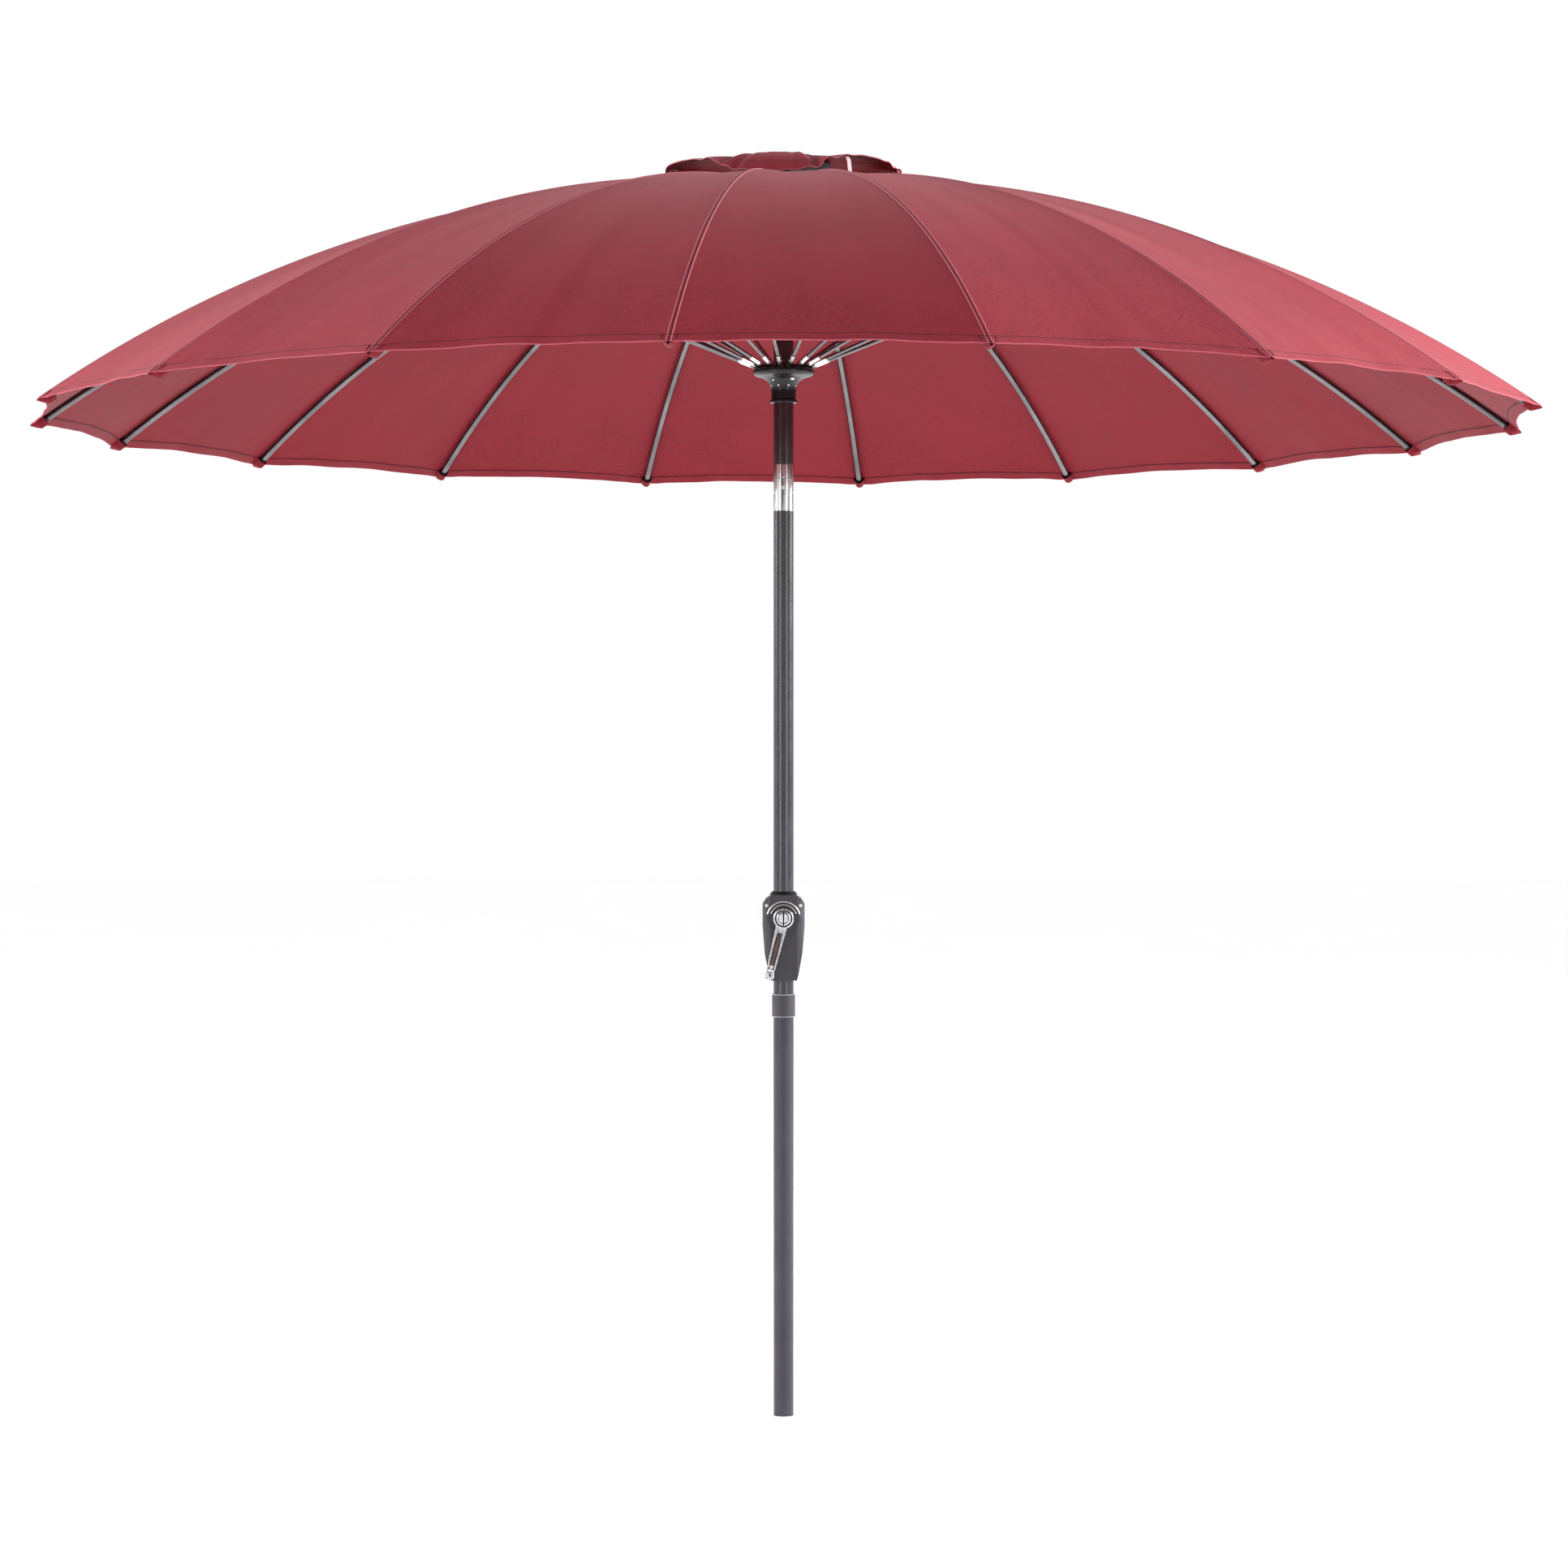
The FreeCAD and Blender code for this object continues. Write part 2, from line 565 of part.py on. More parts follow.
def crank_shaft():
    """Shaft with its brake drum and the cord's spool."""
    shaft = cylinder(SHAFT_R, ARM_FRONT_Y + 5.2, HOUSING_DEPTH - 2, Y_AXIS, SHAFT_AT)
    brake_drum = cylinder(6.2, -32, -19, Y_AXIS, SHAFT_AT)
    drum = cylinder(DRUM_R, -SPOOL_HALF, SPOOL_HALF, Y_AXIS, SHAFT_AT)
    cheeks = [
        cylinder(SPOOL_FLANGE_R, *sorted((s * SPOOL_HALF, s * (SPOOL_HALF - 1.6))), Y_AXIS, SHAFT_AT)
        for s in (-1, 1)
    ]
    screw_hole = cylinder(2.5, -55, -38, Y_AXIS, SHAFT_AT)
    return fused(shaft, brake_drum, drum, *cheeks).cut(screw_hole)


def brake_spring():
    """Wrap spring round the brake drum, held by the housing."""
    wire_r, mean_r, pitch, turns = 0.8, 7.2, 2.2, 5
    helix = Part.makeHelix(pitch, pitch * turns, mean_r)
    section = Part.Wire(Part.makeCircle(wire_r, V(mean_r, 0, 0), Y_AXIS))
    coil = Part.Wire(helix).makePipeShell([section], True, True)
    coil = turned(coil, -90, X_AXIS)
    coil.translate(V(0, -31, CRANK_Z))
    return coil


def leaned(shape):
    """From the arm's own frame, hub at the origin and arm along -Z, to its place at rest."""
    placed = turned(shape, ARM_LEAN_DEG, Y_AXIS)
    placed.translate(SHAFT_AT)
    return placed


def arm_strip(start, end, inset, back, front):
    """A tapering bar of the arm between two distances from the hub."""
    def half_width(d):
        share = (d - CHANNEL[0]) / (CHANNEL[1] - CHANNEL[0])
        return (ARM_TOP_W + (ARM_END_W - ARM_TOP_W) * share) / 2 - inset

    corners = [(-half_width(start), start), (half_width(start), start),
               (half_width(end), end), (-half_width(end), end)]
    face = Part.Face(polygon([V(x, back, -d) for x, d in corners]))
    return face.extrude(V(0, front - back, 0))


def crank_arm():
    """Pressed channel that opens to the front, with a cup at the hub and an eye at the end."""
    start, end = CHANNEL
    outer = arm_strip(start - 6, end, 0, ARM_BACK_Y, ARM_FRONT_Y)
    inner = arm_strip(start + 3, end + 5, ARM_WALL, ARM_BACK_Y - ARM_BASE_T, ARM_FRONT_Y - 1)
    cup = cylinder(ARM_HUB_R, ARM_FRONT_Y, ARM_BACK_Y, Y_AXIS)
    rim = [e for e in cup.Edges if abs(e.CenterOfMass.y - ARM_FRONT_Y) < 0.1]
    cup = cup.makeFillet(2.0, rim)
    eye_at = V(0, 0, -ARM_LENGTH)
    eye = cylinder(ARM_EYE_R, ARM_BACK_Y - 6.5, ARM_BACK_Y, Y_AXIS, eye_at)
    eye_rim = [e for e in eye.Edges if abs(e.CenterOfMass.y - ARM_BACK_Y + 6.5) < 0.1]
    eye = eye.makeFillet(1.5, eye_rim)
    link = arm_strip(end - 3, ARM_LENGTH, 1.0, ARM_BACK_Y, ARM_BACK_Y - ARM_BASE_T)
    channel_end = arm_strip(GRIP_PIVOT - 7, end + 1, ARM_WALL, ARM_BACK_Y - ARM_BASE_T, ARM_FRONT_Y - 1)
    arm = fused(outer.cut(inner), cup, link, eye)
    pin = cylinder(GRIP_AXLE_R, -6.5, 6.5, X_AXIS, V(0, GRIP_Y, -GRIP_PIVOT))
    swing = cylinder(6.0, -4.9, 4.9, X_AXIS, V(0, GRIP_Y, -GRIP_PIVOT))
    holes = [
        cylinder(SHAFT_R + SLIP, -54.5, 0, Y_AXIS),
        cylinder(15.0, ARM_FRONT_Y - 1, ARM_FRONT_Y + 5, Y_AXIS),
        cylinder(3.2, -80, 0, Y_AXIS, eye_at),
        channel_end,
        swing,
    ]
    return leaned(fused(arm.cut(holes), pin))


def crank_screw():
    """Domed cap screw with one wide slot, holding the arm on its shaft."""
    front = ARM_FRONT_Y - 1.5
    head = cylinder(13.6, front, ARM_FRONT_Y + 4.9, Y_AXIS)
    rim = [e for e in head.Edges if abs(e.CenterOfMass.y - front) < 0.1]
    head = head.makeFillet(3.0, rim)
    slot = block((-1.1, 1.1), (front - 1, front + 1.6), (-15, 15))
    groove = cylinder(10.6, front - 1, front + 0.8, Y_AXIS).cut(cylinder(9.4, front - 2, front + 2, Y_AXIS))
    shank = cylinder(2.4, ARM_FRONT_Y + 4, -42, Y_AXIS)
    return turned(leaned(fused(head.cut([slot, groove]), shank)), -ARM_LEAN_DEG, Y_AXIS, SHAFT_AT)


def grip_hinge():
    """Barrel on the fold pin, with the axle that the grip spins on."""
    at = V(0, GRIP_Y, -GRIP_PIVOT)
    barrel = cylinder(4.0, -4.6, 4.6, X_AXIS, at)
    axle = cylinder(GRIP_AXLE_R, 0, GRIP_START + GRIP_LENGTH + 1.5, Z_AXIS, at)
    shoulder = cylinder(3.6, 0, GRIP_START - 0.4, Z_AXIS, at)
    head_at = GRIP_START + GRIP_LENGTH + 0.4
    head = cylinder(3.2, head_at, head_at + 1.6, Z_AXIS, at)
    pin = cylinder(GRIP_AXLE_R + 0.06, -9, 9, X_AXIS, at)
    return leaned(fused(barrel, axle, shoulder, head).cut(pin))


def crank_grip():
    """Slim barrel-shaped grip, stowed in the arm's channel."""
    low = GRIP_START
    outline = [(GRIP_AXLE_R + 0.06, low), (4.2, low), (4.6, low + 2), (5.2, low + 22),
               (5.2, low + 42), (4.5, low + GRIP_LENGTH - 2), (3.9, low + GRIP_LENGTH),
               (GRIP_AXLE_R + 0.06, low + GRIP_LENGTH)]
    grip = revolved(outline)
    grip.translate(V(0, GRIP_Y, -GRIP_PIVOT))
    return leaned(grip)


# ---- write the parts ----------------------------------------------------------------------
def main():
    os.makedirs("parts", exist_ok=True)
    export("lower_pole", lower_pole())
    export("coupling_collar", coupling_collar())
    export("main_pole", main_pole())
    housing_front, housing_back = housing_halves()
    export("crank_housing_front", housing_front)
    export("crank_housing_back", housing_back)
    export("housing_screws", *housing_screws())
    export("crank_shaft", crank_shaft())
    export("brake_spring", brake_spring())
    export("crank_arm", crank_arm())
    export("crank_screw", crank_screw())
    export("grip_hinge", grip_hinge())
    export("crank_grip", crank_grip())
    export("tilt_yoke", tilt_yoke())
    export("tilt_pin", tilt_pin())
    export("tilt_button", tilt_button())
    export("tilt_socket", tilt_socket())
    export("upper_pole", upper_pole())
    export("top_hub", top_hub())
    export("hub_pins", *hub_pins())
    export("top_pulley", top_pulley())
    export("vent_plate", *vent_plate())
    export("runner", runner())
    export("vent_cap", vent_cap())
    export("canopy", *ring_of(gore(), FIRST_RIB_DEG + PITCH_DEG / 2))

    rib = Part.makeCompound([rib_rod(), rib_hub_end(), rib_clip(), rib_tip()])
    for number, shape in enumerate(ring_of(rib, FIRST_RIB_DEG), 1):
        export(f"rib_{number:02d}", shape)
    arm = Part.makeCompound(stretcher())
    for number, shape in enumerate(ring_of(arm, FIRST_RIB_DEG), 1):
        export(f"stretcher_{number:02d}", shape)


main()
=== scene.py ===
"""Looks of the patio umbrella: cloth, materials, light and camera, in metres."""
import math

import bmesh
import bpy
import numpy as np
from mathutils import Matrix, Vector, noise


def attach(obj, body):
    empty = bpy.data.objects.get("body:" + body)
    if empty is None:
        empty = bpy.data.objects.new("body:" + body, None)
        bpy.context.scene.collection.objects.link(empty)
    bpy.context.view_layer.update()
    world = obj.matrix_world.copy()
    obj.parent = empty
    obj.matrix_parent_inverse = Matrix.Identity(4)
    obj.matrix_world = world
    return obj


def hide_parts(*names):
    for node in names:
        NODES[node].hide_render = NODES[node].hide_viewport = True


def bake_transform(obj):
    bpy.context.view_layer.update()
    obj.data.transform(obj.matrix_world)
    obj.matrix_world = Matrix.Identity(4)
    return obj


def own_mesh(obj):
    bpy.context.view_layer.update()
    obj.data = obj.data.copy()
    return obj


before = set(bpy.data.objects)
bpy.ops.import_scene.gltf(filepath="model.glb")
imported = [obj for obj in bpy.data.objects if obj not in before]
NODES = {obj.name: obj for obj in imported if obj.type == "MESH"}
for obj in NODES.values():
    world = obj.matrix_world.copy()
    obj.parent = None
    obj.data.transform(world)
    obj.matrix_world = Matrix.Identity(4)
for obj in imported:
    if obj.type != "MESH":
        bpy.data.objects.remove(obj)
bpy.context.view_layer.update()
scene = bpy.context.scene

# ---- dimensions shared with the frame -----------------------------------------------------
RIBS = 18
PITCH = 2 * math.pi / RIBS
FIRST_RIB = math.radians(2.9)
DOME_R, DOME_Z = 2.3827, -0.0712
RIM_R, VENT_R = 1.4, 0.16
SCALLOP = 0.020
RIB_R, RIB_DROP = 0.006, 0.0082
RIB_ARC = DOME_R - RIB_DROP
HUB_PIVOT_R = 0.045
JOINT_R, JOINT_DROP = 0.628, 0.016
TIP_ANGLE = math.asin(RIM_R / DOME_R) - 0.005 / DOME_R
HUB_ANGLE = math.asin(HUB_PIVOT_R / RIB_ARC)
JOINT_ANGLE = math.asin(JOINT_R / (RIB_ARC - JOINT_DROP))
RUNNER_PIVOT = (0.047, 1.968)
JOINT = ((RIB_ARC - JOINT_DROP) * math.sin(JOINT_ANGLE),
         DOME_Z + (RIB_ARC - JOINT_DROP) * math.cos(JOINT_ANGLE))
CRANK_Z = 0.936
CLOTH_TOP = 0.0001
CLOTH_T = 0.0008
CAP_TOP_Z = 2.3548
CAP_R = 0.222
CAP_TIES = (42.9, 102.9, 162.9, 238.0, 290.0, 342.9)


def azimuth(k):
    return FIRST_RIB + k * PITCH


def smooth(x):
    x = min(max(x, 0.0), 1.0)
    return x * x * (3 - 2 * x)


# ---- materials ----------------------------------------------------------------------------
class Nodes:
    """A material's tree, with short ways to add and join nodes."""

    def __init__(self, name):
        self.material = bpy.data.materials.new(name)
        self.material.use_nodes = True
        self.tree = self.material.node_tree
        self.shader = self.tree.nodes["Principled BSDF"]

    def add(self, kind, inputs=(), **settings):
        node = self.tree.nodes.new(kind)
        for key, value in settings.items():
            setattr(node, key, value)
        for key, value in dict(inputs).items():
            if isinstance(value, bpy.types.NodeSocket):
                self.tree.links.new(value, node.inputs[key])
            else:
                node.inputs[key].default_value = value
        return node

    def math(self, operation, a, b=0.0, c=0.0):
        return self.add("ShaderNodeMath", {0: a, 1: b, 2: c}, operation=operation).outputs[0]

    def noise(self, vector, scale, detail=2.0, rough=0.5):
        node = self.add("ShaderNodeTexNoise",
                        {"Scale": scale, "Detail": detail, "Roughness": rough})
        self.tree.links.new(vector, node.inputs["Vector"])
        return node.outputs["Fac"]

    def ramp(self, value, low, high, out_low=0.0, out_high=1.0):
        node = self.add("ShaderNodeMapRange", {"Value": value, "From Min": low, "From Max": high,
                                               "To Min": out_low, "To Max": out_high})
        node.interpolation_type = "SMOOTHSTEP"
        return node.outputs["Result"]

    def mix(self, factor, a, b):
        node = self.add("ShaderNodeMix", data_type="RGBA")
        for socket, value in ((node.inputs[0], factor), (node.inputs[6], a), (node.inputs[7], b)):
            if isinstance(value, bpy.types.NodeSocket):
                self.tree.links.new(value, socket)
            elif socket == node.inputs[0]:
                socket.default_value = value
            else:
                socket.default_value = (*value, 1.0)
        return node.outputs[2]

    def object_space(self):
        return self.add("ShaderNodeTexCoord").outputs["Object"]

    def connect(self, output, name):
        self.tree.links.new(output, self.shader.inputs[name])

    def bump(self, height, distance, strength=1.0):
        node = self.add("ShaderNodeBump",
                        {"Height": height, "Strength": strength, "Distance": distance})
        self.connect(node.outputs["Normal"], "Normal")

    def set(self, **values):
        for key, value in values.items():
            self.shader.inputs[key.replace("_", " ")].default_value = value


def finish_material(name, dark, light, rough, metal=0.0, grain=900.0, bump=0.00004, coat=0.0,
                    patch=9.0, stretch=None, specular=0.5):
    """Plastic, paint or metal: two close tones in patches, fine grain, uneven gloss."""
    n = Nodes(name)
    where = n.object_space()
    if stretch:
        where = n.add("ShaderNodeMapping", {"Vector": where, "Scale": stretch}).outputs["Vector"]
    patches = n.noise(where, patch, 3.0, 0.6)
    fine = n.noise(where, grain, 2.0, 0.5)
    tone = n.mix(n.ramp(patches, 0.3, 0.7), dark, light)
    bright = tuple(min(1.0, 1.35 * c + 0.004) for c in light)
    n.connect(n.mix(n.ramp(fine, 0.35, 0.75, 0.0, 0.35), tone, bright), "Base Color")
    wear = n.noise(where, patch * 4, 3.0, 0.6)
    n.connect(n.ramp(wear, 0.25, 0.75, rough * 0.82, min(1.0, rough * 1.2)), "Roughness")
    n.bump(fine, bump)
    n.set(Metallic=metal, Coat_Weight=coat, Coat_Roughness=0.12, Specular_IOR_Level=specular)
    return n.material


SEAM_EDGE = 0.0042  # the seam allowance's edge, from the seam's middle
HEM_STITCH = 0.0215  # the hem's stitched line, in from the edge
STITCH_WAVE = 2094.0  # radians a metre: a stitch every 3 mm
WEAVE_WAVE = 5200.0  # radians a metre: a yarn every 1.2 mm


def cloth_material(name, colour, lit, dark_line=0.35, specular=0.24):
    """Plain-weave polyester. The UV map holds metres: across from the seam, in from the hem."""
    n = Nodes(name)
    uv = n.add("ShaderNodeTexCoord").outputs["UV"]
    part = n.add("ShaderNodeSeparateXYZ", {"Vector": uv})
    across = n.math("ABSOLUTE", part.outputs["X"])
    inward = part.outputs["Y"]
    where = n.object_space()
    mottle = n.noise(where, 240.0, 2.5, 0.62)
    cloud = n.noise(where, 4.5, 2.0, 0.5)
    drawn_out = n.add("ShaderNodeMapping", {"Vector": uv, "Scale": (1600.0, 60.0, 1.0)})
    slub = n.noise(drawn_out.outputs["Vector"], 1.0, 2.0)
    dim, bright = tuple(c * 0.72 for c in colour), tuple(c * 1.26 for c in colour)
    base = n.mix(n.ramp(mottle, 0.34, 0.66, 0.0, 0.95), dim, bright)
    base = n.mix(n.ramp(cloud, 0.3, 0.7, 0.0, 0.35), base, tuple(c * 1.25 for c in colour))
    base = n.mix(n.ramp(slub, 0.45, 0.8, 0.0, 0.07), base, lit)
    # lighter edges of the seam allowance and of the hem's fold: painted highlight where these
    # raised edges catch the light, with some wear
    off_edge = n.math("ABSOLUTE", n.math("SUBTRACT", across, SEAM_EDGE))
    edge = n.math("SUBTRACT", 1.0, n.ramp(off_edge, 0.0004, 0.0017))
    base = n.mix(n.math("MULTIPLY", edge, 0.55), base, lit)
    fold_wear_and_highlight = n.math("SUBTRACT", 1.0, n.ramp(inward, 0.0006, 0.0028))
    base = n.mix(n.math("MULTIPLY", fold_wear_and_highlight, 0.22), base, lit)
    # stitched lines: down each seam and along the hem, with a thread every 3 mm
    seam_line = n.math("SUBTRACT", 1.0, n.ramp(across, 0.0010, 0.0021))
    off_hem = n.math("ABSOLUTE", n.math("SUBTRACT", inward, HEM_STITCH))
    hem_line = n.math("SUBTRACT", 1.0, n.ramp(off_hem, 0.0008, 0.0020))
    wave_in = n.math("SINE", n.math("MULTIPLY", inward, STITCH_WAVE))
    wave_across = n.math("SINE", n.math("MULTIPLY", part.outputs["X"], STITCH_WAVE))
    seam_stitch = n.math("MULTIPLY", seam_line, n.ramp(wave_in, -0.9, 0.3, 0.62, 1.0))
    hem_stitch = n.math("MULTIPLY", hem_line, n.ramp(wave_across, -0.9, 0.3, 0.62, 1.0))
    line = n.math("MAXIMUM", seam_stitch, hem_stitch)
    base = n.mix(line, base, tuple(c * dark_line for c in colour))
    n.connect(base, "Base Color")
    warp = n.math("SINE", n.math("MULTIPLY", part.outputs["X"], WEAVE_WAVE))
    weft = n.math("SINE", n.math("MULTIPLY", inward, WEAVE_WAVE))
    weave = n.math("MULTIPLY", n.math("MULTIPLY", warp, weft), 0.5)
    relief = n.math("ADD", weave, n.math("MULTIPLY", mottle, 1.6))
    n.bump(n.math("ADD", relief, n.math("MULTIPLY", line, -2.0)), 0.00016, 0.55)
    n.connect(n.ramp(mottle, 0.25, 0.75, 0.48, 0.66), "Roughness")
    n.set(Sheen_Weight=0.02, Sheen_Roughness=0.5, Sheen_Tint=(1.0, 0.72, 0.78, 1.0),
          Specular_IOR_Level=specular)
    return n.material


WINE = (0.285, 0.0195, 0.034)
# the cloth's colour where it is lit: the painted highlights mix towards it, and so do the lighter
# slubs
PINK = (0.62, 0.20, 0.26)
cloth = cloth_material("canopy_cloth", WINE, PINK)
# the underside's cloth: a darker copy of the top's, painted shade for the side away from the light
under = cloth_material("canopy_cloth_under_shaded", (0.150, 0.0062, 0.0125), (0.36, 0.09, 0.13),
                       0.15, 0.10)
cap_cloth = cloth_material("cap_cloth", (0.225, 0.016, 0.029), PINK, 0.6)
strap_cloth = finish_material("strap_webbing", (0.55, 0.30, 0.33), (0.72, 0.50, 0.52), 0.8,
                              grain=1500.0, bump=0.0001)
pole_dark = finish_material("pole_paint", (0.0090, 0.0078, 0.0125), (0.0170, 0.0150, 0.0230), 0.26,
                            coat=0.3, grain=700.0, bump=0.00001)
pole_upper = finish_material("upper_pole_paint", (0.0035, 0.0030, 0.0045),
                             (0.0070, 0.0060, 0.0080), 0.20, coat=0.6, grain=650.0,
                             bump=0.00001, specular=0.7)
pole_grey = finish_material("lower_pole_paint", (0.026, 0.023, 0.032), (0.038, 0.034, 0.046), 0.42,
                            grain=750.0, bump=0.00003, specular=0.32)
collar_grey = finish_material("collar_plastic", (0.030, 0.027, 0.034), (0.048, 0.044, 0.052), 0.5,
                              grain=1100.0, bump=0.00008, specular=0.3)
# a lighter grey for the collar's rims: painted highlight
collar_light = finish_material("collar_edge_highlight", (0.20, 0.19, 0.21), (0.34, 0.33, 0.35), 0.35,
                               bump=0.00006)
housing_grey = finish_material("housing_plastic", (0.012, 0.011, 0.016), (0.022, 0.020, 0.028),
                               0.36, grain=950.0, bump=0.00014)
black_plastic = finish_material("black_nylon", (0.0045, 0.0040, 0.0055), (0.010, 0.009, 0.011),
                                0.22, bump=0.00003, specular=0.28)
matt_black = finish_material("matt_black_nylon", (0.0045, 0.0040, 0.0055), (0.010, 0.009, 0.011),
                             0.62, bump=0.00008, specular=0.15)
rib_black = finish_material("rib_black", (0.070, 0.068, 0.074), (0.145, 0.142, 0.150), 0.10,
                            metal=0.92, coat=0.2, grain=600.0, bump=0.00002)
ferrule = finish_material("ferrule_plated", (0.52, 0.52, 0.54), (0.80, 0.80, 0.81), 0.20,
                          metal=1.0, grain=800.0, bump=0.00002)
zinc = finish_material("zinc_plate", (0.42, 0.42, 0.43), (0.68, 0.68, 0.67), 0.34, metal=1.0,
                       grain=1200.0, bump=0.00005)
# polished steel whose colour runs in dark vertical streaks: painted reflection of dark
# surroundings, with some tarnish
knuckle = finish_material("knuckle_steel", (0.10, 0.10, 0.11), (0.92, 0.92, 0.93), 0.12, metal=1.0,
                          grain=420.0, bump=0.00002, patch=120.0, stretch=(1.0, 1.0, 0.05))


def crank_metal(name, dark, light, rings, slot=None):
    """Plated steel with painted shade in its grooves: near-black rings round the crank's axis, and
    a near-black slot across it.
    """
    n = Nodes(name)
    spot = n.add("ShaderNodeSeparateXYZ", {"Vector": n.object_space()})
    x, z = spot.outputs["X"], n.math("SUBTRACT", spot.outputs["Z"], CRANK_Z)
    from_hub = n.math("SQRT", n.math("ADD", n.math("POWER", x, 2.0), n.math("POWER", z, 2.0)))
    groove_shade = 0.0
    for radius, half in rings:
        off = n.math("ABSOLUTE", n.math("SUBTRACT", from_hub, radius))
        ring = n.math("SUBTRACT", 1.0, n.ramp(off, half * 0.7, half * 1.3))
        groove_shade = n.math("MAXIMUM", groove_shade, ring)
    if slot:
        slot_shade = n.math("SUBTRACT", 1.0, n.ramp(n.math("ABSOLUTE", x), slot * 0.8, slot * 1.2))
        groove_shade = n.math("MAXIMUM", groove_shade, slot_shade)
    worn = n.noise(n.object_space(), 260.0, 3.0, 0.6)
    plate = n.mix(n.ramp(worn, 0.3, 0.7), dark, light)
    # near-black in the grooves and the slot: painted shade in the recesses
    n.connect(n.mix(groove_shade, plate, (0.012, 0.011, 0.014)), "Base Color")
    n.connect(n.ramp(worn, 0.25, 0.75, 0.18, 0.34), "Roughness")
    n.bump(worn, 0.00003)
    n.set(Metallic=1.0)
    return n.material


arm_plate = crank_metal("arm_plated", (0.36, 0.36, 0.38), (0.66, 0.66, 0.68), [(0.0152, 0.0011)])
cap_plate = crank_metal("cap_screw_plated", (0.46, 0.46, 0.48), (0.74, 0.74, 0.75),
                        [(0.0100, 0.0008)], 0.0012)
grip_brown = finish_material("grip_plastic", (0.018, 0.006, 0.006), (0.075, 0.022, 0.020), 0.38,
                             grain=520.0, bump=0.00025, patch=60.0)
acetal = finish_material("pulley_acetal", (0.62, 0.61, 0.58), (0.74, 0.73, 0.70), 0.4,
                         grain=1000.0, bump=0.00003)
pale_floor = finish_material("pale_floor", (0.78, 0.78, 0.78), (0.82, 0.82, 0.82), 0.75,
                             grain=60.0, bump=0.0002, patch=0.6)


def paint(node, *materials):
    """Gives a CAD node these materials, with every face on the first. Returns its mesh."""
    mesh = NODES[node].data
    mesh.materials.clear()
    for m in materials:
        mesh.materials.append(m)
    mesh.polygons.foreach_set("material_index", np.zeros(len(mesh.polygons), np.int32))
    return mesh


def centres(mesh):
    c = np.zeros(len(mesh.polygons) * 3)
    mesh.polygons.foreach_get("center", c)
    return c.reshape(-1, 3)


for name, m in {
    "lower_pole": pole_grey, "coupling_collar": collar_grey, "main_pole": pole_dark,
    "upper_pole": pole_upper, "crank_housing_front": housing_grey,
    "crank_housing_back": housing_grey, "housing_screws": zinc, "crank_shaft": zinc,
    "brake_spring": zinc, "crank_arm": arm_plate, "crank_screw": cap_plate, "grip_hinge": zinc,
    "crank_grip": grip_brown, "tilt_yoke": knuckle, "tilt_pin": zinc,
    "tilt_button": black_plastic, "tilt_socket": knuckle, "top_hub": black_plastic,
    "hub_pins": zinc, "top_pulley": acetal, "vent_plate": matt_black, "runner": black_plastic,
    "canopy": cloth, "vent_cap": cap_cloth,
}.items():
    paint(name, m)

# a rib's socket in from its hub end, its cap in from the tip, its rivet either side of the pin
HUB_SOCKET, TIP_CAP, RIVET_HALF = 0.028, 0.0065, 0.004
# a stretcher's end fittings: from and to, out from the runner's pin, and in from the rib's pin
INNER_FERRULE, OUTER_FERRULE = (0.0065, 0.0402), 0.0422
RIVET_FROM = RIB_R + 0.00102  # the clip's rivet heads stand further out than this
RUN = np.array([JOINT[0] - RUNNER_PIVOT[0], JOINT[1] - RUNNER_PIVOT[1]])
STRETCHER_LENGTH = np.linalg.norm(RUN)

for k in range(RIBS):
    a = azimuth(k)
    outward = np.array([math.cos(a), math.sin(a)])
    sideways = np.array([-math.sin(a), math.cos(a)])

    mesh = paint(f"rib_{k + 1:02d}", rib_black, black_plastic, zinc)
    c = centres(mesh)
    r, z, s = c[:, :2] @ outward, c[:, 2] - DOME_Z, np.abs(c[:, :2] @ sideways)
    angle = np.arctan2(r, z)
    fitting = np.hypot(np.hypot(r, z) - RIB_ARC, s) > RIB_R + 0.0002
    fitting |= angle < HUB_ANGLE + HUB_SOCKET / RIB_ARC
    fitting |= angle > TIP_ANGLE - TIP_CAP / RIB_ARC
    which = np.where(fitting, 1, 0)
    which[(np.abs(angle - JOINT_ANGLE) < RIVET_HALF / RIB_ARC) & (s > RIVET_FROM)] = 2
    mesh.polygons.foreach_set("material_index", which.astype(np.int32))

    mesh = paint(f"stretcher_{k + 1:02d}", rib_black, ferrule)
    c = centres(mesh)
    r, z = c[:, :2] @ outward, c[:, 2]
    t = ((r - RUNNER_PIVOT[0]) * RUN[0] + (z - RUNNER_PIVOT[1]) * RUN[1]) / STRETCHER_LENGTH
    plated = (t > INNER_FERRULE[0]) & (t < INNER_FERRULE[1])
    plated |= t > STRETCHER_LENGTH - OUTER_FERRULE
    mesh.polygons.foreach_set("material_index", np.where(plated, 1, 0).astype(np.int32))


